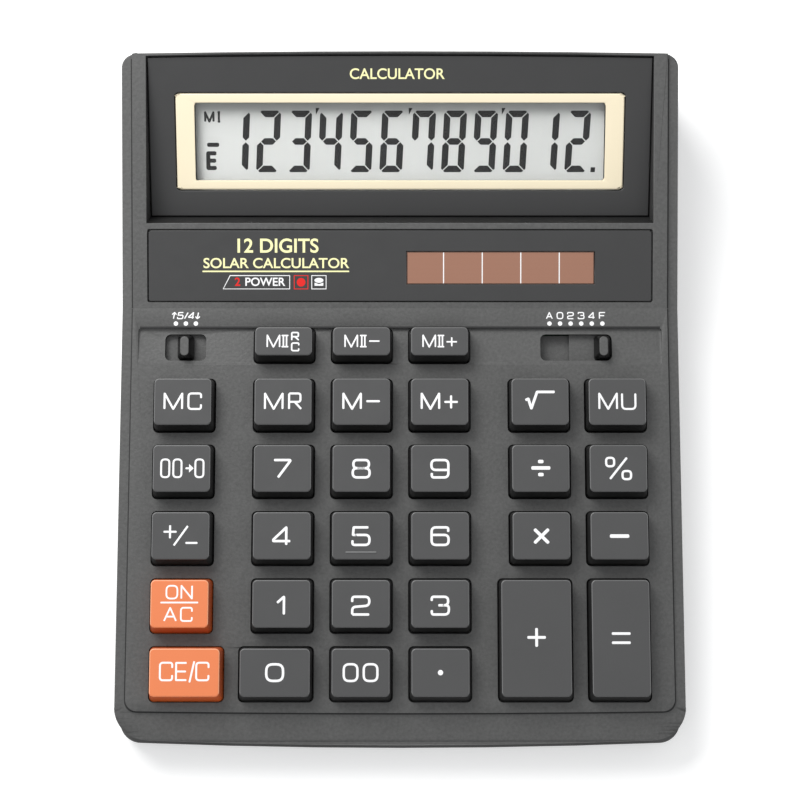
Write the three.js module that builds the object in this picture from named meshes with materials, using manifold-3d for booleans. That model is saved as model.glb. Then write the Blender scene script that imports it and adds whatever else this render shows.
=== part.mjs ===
// A desktop calculator: a wedge-shaped case with thirty-one sprung keys, two slide switches, a tilted
// liquid-crystal display, a solar panel and a button cell behind a sliding door.
// Millimetres. The origin is on the table under the middle of the case: +X right, +Y to the back, +Z up.
import * as THREE from "three";
import { mergeVertices } from "three/addons/utils/BufferGeometryUtils.js";
import Module from "manifold-3d";

const degrees = Math.PI / 180;

// Case, seen from above.
const bodyLength = 196.6;
const bodyWidth = 159;
const frontRadius = 9;
const rearRadius = 3.8;
const frontBow = 1.35; // how far the middle of the front edge stands ahead of its corners
const rearBow = 0.6;
const sideDraft = 0.15; // how far each side leans in from the parting line to the top
const endDraft = 1.3; // the same for the front and the back
const outlineSegments = 6; // sides of each curve of the outline
const cornerSegments = 3; // sides of each small rounded corner
const frontLedge = 0.9; // the bottom case stands this far ahead of the top case

// Case, seen from the side.
const footHeight = 1.2;
const partingHeight = 4.6;
const partingGap = 0.3;
const deckFrontHeight = 12.2;
const deckSlope = 2.5 * degrees;
const upperSlope = 11.4 * degrees;
const upperLength = 72.9; // from the crease to the back edge, along the slope
const rearSetback = 1.4; // the top surface ends this far short of the back of the case
const wall = 2.0;
const floorWall = 1.6;
const rimWidth = 3.2; // the low band round the raised deck
const rimStep = 0.9;
const frontBand = 9.9;
const frontBandFall = 9 * degrees;
const frontRound = 1.9; // the band's front edge is rounded over with this radius
const frontRoundTurns = [75, 50, 25]; // degrees round it
const deckRadius = 3.3;
const deckBow = 0.5;
const lipWall = 1.2;
const lipHeight = 1.5;
const bottomInset = 0.5; // the bottom case is this much narrower than the top case
const bottomLean = 2.5; // how far its walls lean in down to the underside

// Clearances.
const slideGap = 0.3; // between a moving piece and what guides it
const seatGap = 0.3; // between two pieces that are assembled against each other
const fineGap = 0.1; // a hair between two sizes that would otherwise meet
const cutPast = 1; // how far a cut runs past the surface it opens

// Keys.
const keyRowPitch = 18.8;
const rowGap = 3.3;
const keyHole = { width: 17.8, depth: keyRowPitch - rowGap, radius: 1.5 };
const wideHoleWidth = 21.1;
const slimHoleDepth = 10.4;
const firstKeyRow = 2.9; // from the front edge of the deck to the first row of holes
const deckSideMargin = 6.35; // from the side of the deck to the first hole
const narrowGap = 4.2;
const pairGap = 3.9;
const keyRise = 4.8;
const keyTravel = 1.6;
const keyWall = 1.3;
const keySideLean = 0.6;
const keyFrontLean = 1.5;
const keyBackLean = 0.3;
const flangeReach = 0.8;
const flangeThickness = 0.8;
const stemRadius = 2;
const stemSides = 6;

// Rubber keypad and circuit board.
const domeSpare = 0.4; // what is left of a dome when its key is down
const domeHeight = keyTravel + domeSpare;
const domeTopRadius = 2.6;
const domeBaseRadius = 4.2;
const domeWall = 0.6;
const domeSides = 8;
const sheetThickness = 0.6;
const boardThickness = 1.2;
const boardSideMargin = 9.5; // from the side of the case to the edge of the board
const boardFrontMargin = 1.0;
const boardRearMargin = 4.0;

// Slide switches, in a shallow pocket behind the keys.
const switchPocket = { sideMargin: 1.7, frontMargin: 16.3, rearMargin: 5.7, depth: 0.9, radius: 1.0 };
const slotDepth = 7.7;
const slotRadius = 1.6;
const slotRearMargin = 7.45; // from the crease to the back of the slots
const roundingSlot = { width: 11.7, sideMargin: 18.4, step: 2.85, steps: 2 };
const decimalSlot = { width: 20.4, sideMargin: 19.1, step: 3.02, steps: 5 };
const sliderPlate = { width: 18.8, depth: 14, thickness: 1.0 };
const knob = { width: 4.6, depth: 7.1, rise: 2.6, topShareWidth: 0.52, topShareDepth: 0.76 };
const wiper = { width: 8, depth: 2.0, thickness: 0.4, legWidth: 1.2 };
const shelfThickness = 0.8;
const shelfEnd = 1.4;

// Panel with the solar cells.
const solarPanel = { sideMargin: 7.4, front: 1.7, back: 22.5, thickness: 0.8, radius: 0.6 };
const solarWindow = { width: 53.7, depth: 9.4, centreX: 28.7, centreBack: 11.5 };
const solarCellBorder = 1.5;
const solarCellThickness = 1.1;

// Sunk display.
const displayOpening = { sideMargin: 7.2, front: 24.3, back: 72.6 };
const displayStrip = 0.75; // what is left of the top surface behind the display
const displaySlope = 20.4 * degrees;
const displayRearDrop = 0.5;
const displayRearInset = 0.2;
const displayLength = 46.4;
const tubWall = 1.5;
const plateFace = 1.4; // the part of the display plate that stands between the tub's walls
const plateFlange = 1.0; // the wider layer behind it, which bears on the tub's walls
const plateFlangeRearInset = 3.4;
const border = { width: 128.6, depth: 27.3, thickness: 1.2, radius: 1.1, centre: 21.6 };
const windowWidth = 117.5;
const windowDepth = 22.0;
const windowRadius = 0.7;
const lens = { width: 124, depth: 25, thickness: 0.8 };
const glass = { width: 131, depth: 30.5, thickness: 2.2 };
const reflectorThickness = 0.3;
const ribbonThickness = 0.4;
const ribbonBond = 2; // how far the ribbon runs under the glass and over the board
const ribbonBend = { back: 17.9, height: 5.4 }; // its lowest place, from the crease and over the floor

// Button cell, its door and its contacts, at the back of the underside.
const cellDiameter = 11.6;
const cellHeight = 5.4;
const cellBack = 15; // from the back edge to the middle of the cell
const cellGap = 0.4;
const cellRingWall = 1.6;
const doorWidth = 32;
const doorLength = 26.5;
const doorRearInset = 3.5; // from the back edge of the case to the back of the closed door
const doorThickness = 1.2;
const doorTongue = 1.0;
const doorTongueThickness = 0.8;
const doorRoof = 1.4; // thickness of the floor over the door
const doorRailWidth = 3;
const gripCount = 3; // finger grooves across the door
const gripInset = 3;
const gripPitch = 2;
const gripLength = 12;
const gripWidth = 1;
const gripDepth = 0.5;
const contactThickness = 0.4;
const contactWidth = 4;
const plusContactHeight = 4;

// Feet and screws.
const footRadius = 5;
const footSeat = 0.7;
const footSideInset = 17;
const footEndInset = 16;
const screwHeadRadius = 2.5;
const screwHeadHeight = 1.6;
const screwShankRadius = 1.2;
const frontScrewLength = 5.6;
const rearScrewLength = 10;
const bossRadius = 3.2;
const screwSideInset = 13.5;
const frontScrewInset = 6.7;
const rearScrewBack = 12.5; // from the crease to the rear screws

// Controller under its drop of resin, on the underside of the board.
const blobRadius = 8;
const blobHeight = 1.4;
const blobX = 17.5;
const blobSteps = 5;

// Sides of turned pieces.
const roundSides = 24;
const screwSides = 12;

// Places that follow from the sizes.
const halfLength = bodyLength / 2;
const halfWidth = bodyWidth / 2;
const deckHalfWidth = halfWidth - rimWidth;
const deckFrontY = -halfLength + frontBand;
const upperRun = upperLength * Math.cos(upperSlope);
const creaseY = halfLength - rearSetback - upperRun;
const deckLength = (creaseY - deckFrontY) / Math.cos(deckSlope);
const creaseHeight = deckFrontHeight + deckLength * Math.sin(deckSlope);
const bodyHeight = creaseHeight + upperLength * Math.sin(upperSlope);
const flangeTop = -wall - slideGap;
const domeTop = flangeTop - flangeThickness - slideGap;
const sheetTop = domeTop - domeHeight;
const boardTop = sheetTop - sheetThickness - seatGap;
const boardHalfWidth = halfWidth - boardSideMargin;
const boardRear = deckLength - boardRearMargin;
const floorTop = footHeight + floorWall;
const ribbonTop = -plateFace - plateFlange - glass.thickness - 2 * seatGap;

// Turned frames: y runs up each slope and z stands square to it.
const deck = new THREE.Group();
deck.position.set(0, deckFrontY, deckFrontHeight);
deck.rotation.x = deckSlope;
deck.updateMatrix();
const upper = new THREE.Group();
upper.position.set(0, creaseY, creaseHeight);
upper.rotation.x = upperSlope;
upper.updateMatrix();
const display = new THREE.Group();
const displayRear = new THREE.Vector3(0, displayOpening.back - displayRearInset, -displayRearDrop);
displayRear.applyMatrix4(upper.matrix);
display.position.set(
  0,
  displayRear.y - displayLength * Math.cos(displaySlope),
  displayRear.z - displayLength * Math.sin(displaySlope),
);
display.rotation.x = displaySlope;
display.updateMatrix();

const wasm = await Module();
wasm.setup();

// A closed geometry, moved by a frame's matrix, as a solid that can be joined and cut.
function solid(geometry, matrix = new THREE.Matrix4()) {
  const bare = geometry.clone().applyMatrix4(matrix);
  bare.deleteAttribute("normal");
  bare.deleteAttribute("uv");
  const merged = mergeVertices(bare, 1e-4);
  return new wasm.Manifold(
    new wasm.Mesh({
      numProp: 3,
      vertProperties: merged.attributes.position.array,
      triVerts: new Uint32Array(merged.index.array),
    }),
  );
}

function geometryOf(body) {
  const mesh = body.getMesh();
  const geometry = new THREE.BufferGeometry();
  geometry.setAttribute("position", new THREE.BufferAttribute(mesh.vertProperties, 3));
  geometry.setIndex(new THREE.BufferAttribute(mesh.triVerts, 1));
  geometry.computeVertexNormals();
  return geometry;
}

// A box from its lowest to its highest corner.
function block(low, high) {
  const size = high.map((value, axis) => value - low[axis]);
  const middle = high.map((value, axis) => (value + low[axis]) / 2);
  return new THREE.BoxGeometry(...size).translate(...middle);
}

// An upright disc, cone or drum standing on z = bottom.
function drum(radius, bottom, top, sides = roundSides, topRadius = radius) {
  const height = top - bottom;
  return new THREE.CylinderGeometry(topRadius, radius, height, sides)
    .rotateX(Math.PI / 2)
    .translate(0, 0, bottom + height / 2);
}

function roundedRectangle(width, depth, radius) {
  const x = width / 2;
  const y = depth / 2;
  const shape = new THREE.Shape();
  shape.absarc(x - radius, -y + radius, radius, -Math.PI / 2, 0);
  shape.absarc(x - radius, y - radius, radius, 0, Math.PI / 2);
  shape.absarc(-x + radius, y - radius, radius, Math.PI / 2, Math.PI);
  shape.absarc(-x + radius, -y + radius, radius, Math.PI, 1.5 * Math.PI);
  return shape;
}

function upright(shape, bottom, top, curveSegments = cornerSegments) {
  const options = { depth: top - bottom, bevelEnabled: false, curveSegments };
  return new THREE.ExtrudeGeometry(shape, options).translate(0, 0, bottom);
}

// Leans the walls of an upright extrusion: its top is scaled and shifted, its bottom stays.
function leaned(geometry, scaleX, scaleY, shiftY = 0) {
  geometry.computeBoundingBox();
  const middle = (geometry.boundingBox.max.z + geometry.boundingBox.min.z) / 2;
  const position = geometry.attributes.position;
  for (let i = 0; i < position.count; i++) {
    if (position.getZ(i) < middle) continue;
    position.setX(i, position.getX(i) * scaleX);
    position.setY(i, position.getY(i) * scaleY + shiftY);
  }
  return geometry;
}

// An upright extrusion that is straight up to a shoulder and leans in from there to its top.
function shouldered(shape, bottom, shoulder, top, scaleX, scaleY, shiftY) {
  const options = { depth: top - bottom, bevelEnabled: false, curveSegments: cornerSegments, steps: 2 };
  const geometry = new THREE.ExtrudeGeometry(shape, options).translate(0, 0, bottom);
  const middle = (top + bottom) / 2;
  const position = geometry.attributes.position;
  for (let i = 0; i < position.count; i++) {
    const z = position.getZ(i);
    if (Math.abs(z - middle) < (top - bottom) / 4) position.setZ(i, shoulder);
    if (z - middle < (top - bottom) / 4) continue;
    position.setX(i, position.getX(i) * scaleX);
    position.setY(i, position.getY(i) * scaleY + shiftY);
  }
  return geometry;
}

// A side view, given as [y, z] points, carried across from x = left to x = right.
function across(points, left, right) {
  const shape = new THREE.Shape(points.map(([y, z]) => new THREE.Vector2(y, z)));
  const turn = new THREE.Matrix4().makeBasis(
    new THREE.Vector3(0, 1, 0),
    new THREE.Vector3(0, 0, 1),
    new THREE.Vector3(1, 0, 0),
  );
  const geometry = new THREE.ExtrudeGeometry(shape, { depth: right - left, bevelEnabled: false });
  return geometry.applyMatrix4(turn).translate(left, 0, 0);
}

// A point of a turned frame as [y, z] of the case.
function sidePoint(frame, y, z) {
  const point = new THREE.Vector3(0, y, z).applyMatrix4(frame.matrix);
  return [point.y, point.z];
}

// The plan of the case, pulled in by inset, with its front moved ahead by reach.
function caseOutline(inset, reach = 0) {
  const x = halfWidth - inset;
  const front = -halfLength + frontLedge + inset - reach;
  const rear = halfLength - inset;
  const frontR = frontRadius - inset;
  const rearR = Math.max(rearRadius - inset, 1);
  const shape = new THREE.Shape();
  const corner = front + frontBow + frontR;
  const rearCorner = rear - rearBow - rearR;
  shape.moveTo(-x + frontR, front + frontBow);
  shape.quadraticCurveTo(0, front - frontBow, x - frontR, front + frontBow);
  shape.absarc(x - frontR, corner, frontR, -Math.PI / 2, 0);
  shape.absarc(x - rearR, rearCorner, rearR, 0, Math.PI / 2);
  shape.quadraticCurveTo(0, rear + rearBow, -x + rearR, rear - rearBow);
  shape.absarc(-x + rearR, rearCorner, rearR, Math.PI / 2, Math.PI);
  shape.absarc(-x + frontR, corner, frontR, Math.PI, 1.5 * Math.PI);
  return shape;
}

// The raised deck's plan: round front corners, and straight sides that run out past the back.
function deckOutline() {
  const shape = new THREE.Shape();
  const x = deckHalfWidth;
  const front = deckFrontY + deckBow;
  shape.moveTo(-x + deckRadius, front);
  shape.quadraticCurveTo(0, front - 2 * deckBow, x - deckRadius, front);
  shape.absarc(x - deckRadius, front + deckRadius, deckRadius, -Math.PI / 2, 0);
  shape.lineTo(x, bodyLength);
  shape.lineTo(-x, bodyLength);
  shape.absarc(-x + deckRadius, front + deckRadius, deckRadius, Math.PI, 1.5 * Math.PI);
  return shape;
}

// Everything between the parting line and the top surface, lowered by drop.
function underTop(drop) {
  const front = -bodyLength;
  const roundY = -halfLength + frontLedge + frontRound;
  const roundZ = deckFrontHeight - drop - (deckFrontY - roundY) * Math.tan(frontBandFall);
  const round = frontRoundTurns.map((turn) => [
    roundY - frontRound * Math.sin(turn * degrees),
    roundZ - frontRound * (1 - Math.cos(turn * degrees)),
  ]);
  const rearRun = rearSetback + wall;
  return across(
    [
      [front, partingHeight],
      [halfLength + rearRun, partingHeight],
      [halfLength + rearRun, bodyHeight - drop + (rearSetback + rearRun) * Math.tan(upperSlope)],
      [creaseY, creaseHeight - drop],
      [deckFrontY, deckFrontHeight - drop],
      [roundY, roundZ],
      ...round.slice().reverse(),
      [front, round[0][1]],
    ],
    -bodyWidth,
    bodyWidth,
  );
}

function walled(inset) {
  const lean = 1 - sideDraft / halfWidth;
  const leanLong = 1 - endDraft / halfLength;
  const upward = upright(caseOutline(inset), partingHeight, bodyHeight + wall, outlineSegments);
  return leaned(upward, lean, leanLong);
}

// Columns and rows of keys.
const columnGaps = () => {
  const used = 2 * (deckHalfWidth - deckSideMargin);
  const wideGap = (used - 6 * keyHole.width - 2 * narrowGap - pairGap) / 2;
  return [wideGap, narrowGap, narrowGap, wideGap, pairGap];
};
const columnLeft = [-deckHalfWidth + deckSideMargin];
for (const gap of columnGaps()) {
  columnLeft.push(columnLeft[columnLeft.length - 1] + keyHole.width + gap);
}
const keyRows = [
  ["ce_c", "0", "00", "point", "plus", "equals"],
  ["on_ac", "1", "2", "3"],
  ["sign", "4", "5", "6", "multiply", "minus"],
  ["shift", "7", "8", "9", "divide", "percent"],
  ["mc", "mr", "m_minus", "m_plus", "sqrt", "mu"],
];
const slimKeys = ["mii_rc", "mii_minus", "mii_plus"];
const wideToTheRight = ["ce_c"];
const wideToTheLeft = ["0", "plus"];
const tallKeys = ["plus", "equals"];
const orangeKeys = ["ce_c", "on_ac"];

// Each key's hole in the deck: its middle, width and depth.
function keyHoles() {
  const holes = [];
  const extra = wideHoleWidth - keyHole.width;
  keyRows.forEach((names, row) => {
    names.forEach((name, column) => {
      const growLeft = wideToTheLeft.includes(name) ? extra : 0;
      const growRight = wideToTheRight.includes(name) ? extra : 0;
      const left = columnLeft[column] - growLeft;
      const width = keyHole.width + growLeft + growRight;
      const front = firstKeyRow + row * keyRowPitch;
      const depth = keyHole.depth + (tallKeys.includes(name) ? keyRowPitch : 0);
      holes.push({ name, x: left + width / 2, y: front + depth / 2, width, depth });
    });
  });
  const slimBack = deckLength - switchPocket.rearMargin;
  slimKeys.forEach((name, index) => {
    const x = columnLeft[index + 1] + keyHole.width / 2;
    holes.push({ name, x, y: slimBack - slimHoleDepth / 2, width: keyHole.width, depth: slimHoleDepth });
  });
  return holes;
}
const holes = keyHoles();

const slotMiddle = deckLength - slotRearMargin - slotDepth / 2;
const slots = [
  { name: "rounding", size: roundingSlot, x: -halfWidth + roundingSlot.sideMargin, rest: 0 },
  {
    name: "decimal",
    size: decimalSlot,
    x: halfWidth - decimalSlot.sideMargin - decimalSlot.width / 2,
    rest: (decimalSlot.steps / 2) * decimalSlot.step,
  },
];

const decimalReach = slots[1].rest + wiper.width / 2;
// The ribbon ends beside the wiper, where its travel ends.
const ribbonHalfWidth = slots[1].x - decimalReach - 2 * seatGap;

const sides = [
  { side: "left", sign: -1 },
  { side: "right", sign: 1 },
];
const screwPlaces = sides.flatMap(({ side, sign }) => {
  const x = sign * (halfWidth - screwSideInset);
  return [
    { name: `front_${side}`, x, y: -halfLength + frontScrewInset, length: frontScrewLength },
    { name: `rear_${side}`, x, y: creaseY + rearScrewBack, length: rearScrewLength },
  ];
});
const footPlaces = sides.flatMap(({ side, sign }) => {
  const x = sign * (halfWidth - footSideInset);
  const y = halfLength - footEndInset;
  return [
    { name: `front_${side}`, x, y: -y },
    { name: `rear_${side}`, x, y },
  ];
});
const cellY = halfLength - cellBack;
const doorRear = halfLength - doorRearInset;
const doorFront = doorRear - doorLength;
const doorTop = footHeight + doorThickness + doorTongueThickness;
const bayFloor = doorTop + slideGap;
const bayTop = bayFloor + cellHeight;
const bayRadius = cellDiameter / 2 + cellGap;

// Top case: the raised deck and its rim, hollow below, with every opening and the sunk tub of the display.
function topCase() {
  const walls = solid(walled(0));
  const rim = walls.intersect(solid(underTop(rimStep)));
  const raised = walls
    .intersect(solid(underTop(0)))
    .intersect(solid(upright(deckOutline(), partingHeight, bodyHeight + wall, outlineSegments)));
  const outside = rim.add(raised);
  const hollow = solid(walled(wall)).intersect(solid(underTop(wall / Math.cos(deckSlope))));
  let shell = outside.subtract(hollow);
  for (const { x, y } of screwPlaces) {
    const boss = drum(bossRadius, partingHeight, bodyHeight, screwSides).translate(x, y, 0);
    shell = shell.add(solid(boss).intersect(outside));
  }
  shell = shell.add(tubBlock().intersect(outside)).subtract(tubSpace());
  for (const hole of holes) {
    const cut = upright(roundedRectangle(hole.width, hole.depth, keyHole.radius), -3 * wall, wall);
    shell = shell.subtract(solid(cut.translate(hole.x, hole.y, 0), deck.matrix));
  }
  shell = shell.subtract(solarPocket()).subtract(switchRecess()).add(slotShelf());
  for (const { x, y, length } of screwPlaces) {
    const depth = footHeight + screwHeadHeight + length + seatGap;
    const pilot = drum(screwShankRadius + seatGap, 0, depth, screwSides);
    shell = shell.subtract(solid(pilot.translate(x, y, 0)));
  }
  return shell;
}

// The tub's outer block, from the top surface to a little under the display plate.
function tubBlock() {
  const side = halfWidth - displayOpening.sideMargin + tubWall;
  return solid(
    across(
      [
        sidePoint(upper, displayOpening.front - tubWall, 0),
        sidePoint(display, -tubWall, seatGap - plateFace),
        sidePoint(display, displayLength + 2 * tubWall, seatGap - plateFace),
        [halfLength, bodyHeight + wall],
      ],
      -side,
      side,
    ),
  );
}

// The open space over the display plate, and the seat of the plate itself.
function tubSpace() {
  const side = halfWidth - displayOpening.sideMargin;
  const open = across(
    [
      sidePoint(upper, displayOpening.front, wall),
      sidePoint(upper, displayOpening.front, 0),
      sidePoint(display, 0, 0),
      sidePoint(display, 0, -plateFace - seatGap),
      sidePoint(display, displayLength, -plateFace - seatGap),
      sidePoint(display, displayLength, 0),
      sidePoint(upper, displayOpening.back, 0),
      sidePoint(upper, displayOpening.back, wall),
    ],
    -side,
    side,
  );
  return solid(open).intersect(solid(walled(displayStrip)));
}

// The solar panel's seat, and the hole behind its window that the cells sit in.
function solarPocket() {
  const side = halfWidth - solarPanel.sideMargin;
  const depth = solarPanel.back - solarPanel.front;
  const seat = upright(
    roundedRectangle(2 * side, depth, solarPanel.radius),
    -solarPanel.thickness - seatGap,
    wall,
  ).translate(0, (solarPanel.front + solarPanel.back) / 2, 0);
  const room = solarCellBorder + seatGap;
  const hole = block(
    [
      solarWindow.centreX - solarWindow.width / 2 - room,
      solarWindow.centreBack - solarWindow.depth / 2 - room,
      -3 * wall,
    ],
    [
      solarWindow.centreX + solarWindow.width / 2 + room,
      solarWindow.centreBack + solarWindow.depth / 2 + room,
      0,
    ],
  );
  return solid(seat, upper.matrix).add(solid(hole, upper.matrix));
}

// The pocket slopes from its full depth at the back to nothing at the front.
function switchRecess() {
  const front = deckLength - switchPocket.frontMargin;
  const back = deckLength - switchPocket.rearMargin;
  const side = deckHalfWidth - switchPocket.sideMargin;
  const slope = across(
    [
      [front, 0],
      [back, -switchPocket.depth],
      [back, wall],
      [front, wall],
    ],
    -side,
    side,
  );
  const outline = upright(roundedRectangle(2 * side, back - front, switchPocket.radius), -wall, wall);
  outline.translate(0, (front + back) / 2, 0);
  let recess = solid(slope, deck.matrix).intersect(solid(outline, deck.matrix));
  for (const { size, x } of slots) {
    const cut = upright(roundedRectangle(size.width, slotDepth, slotRadius), -3 * wall, wall);
    recess = recess.add(solid(cut.translate(x, slotMiddle, 0), deck.matrix));
  }
  return recess;
}

// A shelf hung under the long slot closes it off where the slider's plate has moved away.
function slotShelf() {
  const { size, x } = slots[1];
  const reach = (size.steps * size.step + sliderPlate.width) / 2 + slideGap;
  const top = -wall - sliderPlate.thickness - 2 * slideGap;
  const half = slotDepth / 2;
  const low = [x - reach - shelfEnd, slotMiddle - half, top - shelfThickness];
  const plate = solid(block(low, [x + reach + shelfEnd, slotMiddle + half, top]), deck.matrix);
  const ends = [x - reach - shelfEnd, x + reach].map((left) => {
    const upright = block([left, low[1], low[2]], [left + shelfEnd, slotMiddle + half, -wall / 2]);
    return solid(upright, deck.matrix);
  });
  return ends.reduce((sum, end) => sum.add(end), plate);
}

// Bottom case: a tray with a lip inside the top case, seats for feet and screws, and the cell's bay.
function bottomCase() {
  const top = partingHeight - partingGap;
  const base = caseOutline(bottomInset + bottomLean, frontLedge + bottomInset);
  const spread = 1 + bottomLean / (halfWidth - bottomInset - bottomLean);
  const spreadLong = 1 + bottomLean / (halfLength - bottomInset - bottomLean);
  let shell = solid(leaned(upright(base, footHeight, top, outlineSegments), spread, spreadLong));
  const within = caseOutline(wall + seatGap + lipWall);
  const inside = solid(upright(within, floorTop, bodyHeight, outlineSegments));
  const lipOutline = caseOutline(wall + seatGap);
  const lip = solid(upright(lipOutline, floorTop, partingHeight + lipHeight, outlineSegments));
  shell = shell.add(lip).subtract(inside).add(cellBay());
  for (const { x, y } of screwPlaces) {
    const seat = drum(bossRadius, footHeight, partingHeight - seatGap, screwSides).translate(x, y, 0);
    const headTop = footHeight + screwHeadHeight;
    const head = drum(screwHeadRadius + seatGap, 0, headTop, screwSides).translate(x, y, 0);
    const shank = drum(screwShankRadius + seatGap, 0, partingHeight, screwSides).translate(x, y, 0);
    const roomBottom = partingHeight - seatGap;
    const bossRoom = drum(bossRadius + seatGap, roomBottom, bodyHeight, screwSides).translate(x, y, 0);
    shell = shell.add(solid(seat)).subtract(solid(bossRoom)).subtract(solid(head)).subtract(solid(shank));
  }
  for (const { x, y } of footPlaces) {
    shell = shell.subtract(solid(drum(footRadius, 0, footHeight + footSeat).translate(x, y, 0)));
  }
  return shell.subtract(doorWay());
}

// A thicker floor over the door, and the ring that holds the cell, open on one side for the side contact.
function cellBay() {
  const side = doorWidth / 2 + doorTongue + doorRailWidth;
  const rear = halfLength - wall - seatGap - lipWall;
  const roof = block([-side, doorFront - doorRailWidth, footHeight], [side, rear, bayFloor + doorRoof]);
  const ring = drum(bayRadius + cellRingWall, footHeight, bayTop).translate(0, cellY, 0);
  const gap = block(
    [bayRadius - cutPast, cellY - contactWidth / 2 - seatGap, bayFloor + doorRoof],
    [bayRadius + cellRingWall + cutPast, cellY + contactWidth / 2 + seatGap, bayTop + cutPast],
  );
  return solid(roof).add(solid(ring)).subtract(solid(gap));
}

// The way the door slides along, with a clearance, out through the back, and the cell's hole.
function doorWay() {
  const side = doorWidth / 2 + slideGap;
  const front = doorFront - slideGap;
  const seam = footHeight + doorThickness - slideGap;
  const plate = block([-side, front, 0], [side, bodyLength, bayFloor]);
  const groove = block([-side - doorTongue, front, seam], [side + doorTongue, bodyLength, bayFloor]);
  const hole = drum(bayRadius, 0, bodyHeight).translate(0, cellY, 0);
  return solid(plate).add(solid(groove)).add(solid(hole));
}

function batteryDoor() {
  const side = doorWidth / 2;
  const seam = footHeight + doorThickness;
  const plate = block([-side, doorFront, footHeight], [side, doorRear, doorTop]);
  const tongues = block([-side - doorTongue, doorFront, seam], [side + doorTongue, doorRear, doorTop]);
  let door = solid(plate).add(solid(tongues));
  for (let i = 0; i < gripCount; i++) {
    const y = doorRear - gripInset - i * gripPitch;
    const groove = block([-gripLength / 2, y - gripWidth, 0], [gripLength / 2, y, footHeight + gripDepth]);
    door = door.subtract(solid(groove));
  }
  return door;
}

// The leaf over the cell, with a leg down to the bay's roof at the front.
function minusContact() {
  const half = contactWidth / 2;
  const low = bayTop + seatGap;
  const front = cellY - bayRadius - cellRingWall - cutPast;
  const top = low + contactThickness;
  const leaf = block([-half, front, low], [half, cellY + cellDiameter / 4, top]);
  const leg = block([-half, front, bayFloor + doorRoof], [half, front + contactThickness, top]);
  return solid(leaf).add(solid(leg));
}

// The leaf beside the cell, standing in the ring's gap, with a foot on the bay's roof.
function plusContact() {
  const half = contactWidth / 2;
  const x = cellDiameter / 2 + fineGap;
  const low = bayFloor + doorRoof;
  const leaf = block([x, cellY - half, low], [x + contactThickness, cellY + half, low + plusContactHeight]);
  const foot = block([x, cellY - half, low], [x + 2 * contactWidth, cellY + half, low + contactThickness]);
  return solid(leaf).add(solid(foot));
}

// A key: a cap with leaning walls, hollow below, a flange that stops it under the deck, and a stem.
function keyBody({ width, depth }) {
  const w = width - 2 * slideGap;
  const d = depth - 2 * slideGap;
  const topWidth = w - 2 * keySideLean;
  const topDepth = d - keyFrontLean - keyBackLean;
  const shift = (keyFrontLean - keyBackLean) / 2;
  const outline = roundedRectangle(w, d, keyHole.radius - slideGap);
  const bottom = flangeTop - flangeThickness;
  const ceiling = keyRise - keyWall;
  const cap = solid(shouldered(outline, bottom, 0, keyRise, topWidth / w, topDepth / d, shift));
  const reach = flangeReach + slideGap;
  const flangeX = w / 2 + reach;
  const flangeY = d / 2 + reach;
  const flange = solid(block([-flangeX, -flangeY, bottom], [flangeX, flangeY, flangeTop]));
  const halfHollow = topWidth / 2 - keyWall;
  const hollow = solid(
    block(
      [-halfHollow, shift - topDepth / 2 + keyWall, bottom - cutPast],
      [halfHollow, shift + topDepth / 2 - keyWall, ceiling],
    ),
  );
  const stem = solid(drum(stemRadius, bottom, ceiling + keyWall / 2, stemSides));
  return cap.add(flange).subtract(hollow).add(stem);
}

// The rubber sheet under the keys, with a hollow dome, open below, under every stem.
function rubberKeypad() {
  const front = boardFrontMargin;
  const back = slotMiddle - sliderPlate.depth / 2 - wall;
  const bottom = sheetTop - sheetThickness;
  const tongueLeft = columnLeft[1] - wall;
  const tongueRight = columnLeft[3] + keyHole.width + wall;
  let sheet = solid(block([-boardHalfWidth, front, bottom], [boardHalfWidth, back, sheetTop]));
  const tongueBack = boardRear - ribbonBond - seatGap;
  const tongue = block([tongueLeft, back - cutPast, bottom], [tongueRight, tongueBack, sheetTop]);
  sheet = sheet.add(solid(tongue));
  for (const { x, y } of holes) {
    const dome = drum(domeBaseRadius, bottom, domeTop, domeSides, domeTopRadius).translate(x, y, 0);
    sheet = sheet.add(solid(dome));
  }
  for (const { x, y } of holes) {
    const radius = domeTopRadius - domeWall;
    const inner = drum(domeBaseRadius - domeWall, bottom - fineGap, domeTop - domeWall, domeSides, radius);
    sheet = sheet.subtract(solid(inner.translate(x, y, 0)));
  }
  return sheet;
}

// A slide switch's moving piece: a plate under the deck and a finger piece that stands through the slot.
function sliderBody() {
  const top = -wall - slideGap;
  const x = sliderPlate.width / 2;
  const y = sliderPlate.depth / 2;
  const plate = solid(block([-x, -y, top - sliderPlate.thickness], [x, y, top]));
  const outline = roundedRectangle(knob.width, knob.depth, (knob.width - fineGap) / 2);
  const finger = upright(outline, top - sliderPlate.thickness / 2, knob.rise);
  return plate.add(solid(leaned(finger, knob.topShareWidth, knob.topShareDepth)));
}

// The sprung contact under the slider's plate: a strip with two legs down to the board.
function wiperBody() {
  const top = -wall - sliderPlate.thickness - slideGap - seatGap;
  const x = wiper.width / 2;
  const back = sliderPlate.depth / 2 - slideGap;
  const front = back - wiper.depth;
  const strip = solid(block([-x, front, top - wiper.thickness], [x, back, top]));
  const legs = [-x, x - wiper.legWidth].map((left) =>
    solid(block([left, front, boardTop + slideGap], [left + wiper.legWidth, back, top])),
  );
  return legs.reduce((sum, leg) => sum.add(leg), strip);
}

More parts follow.
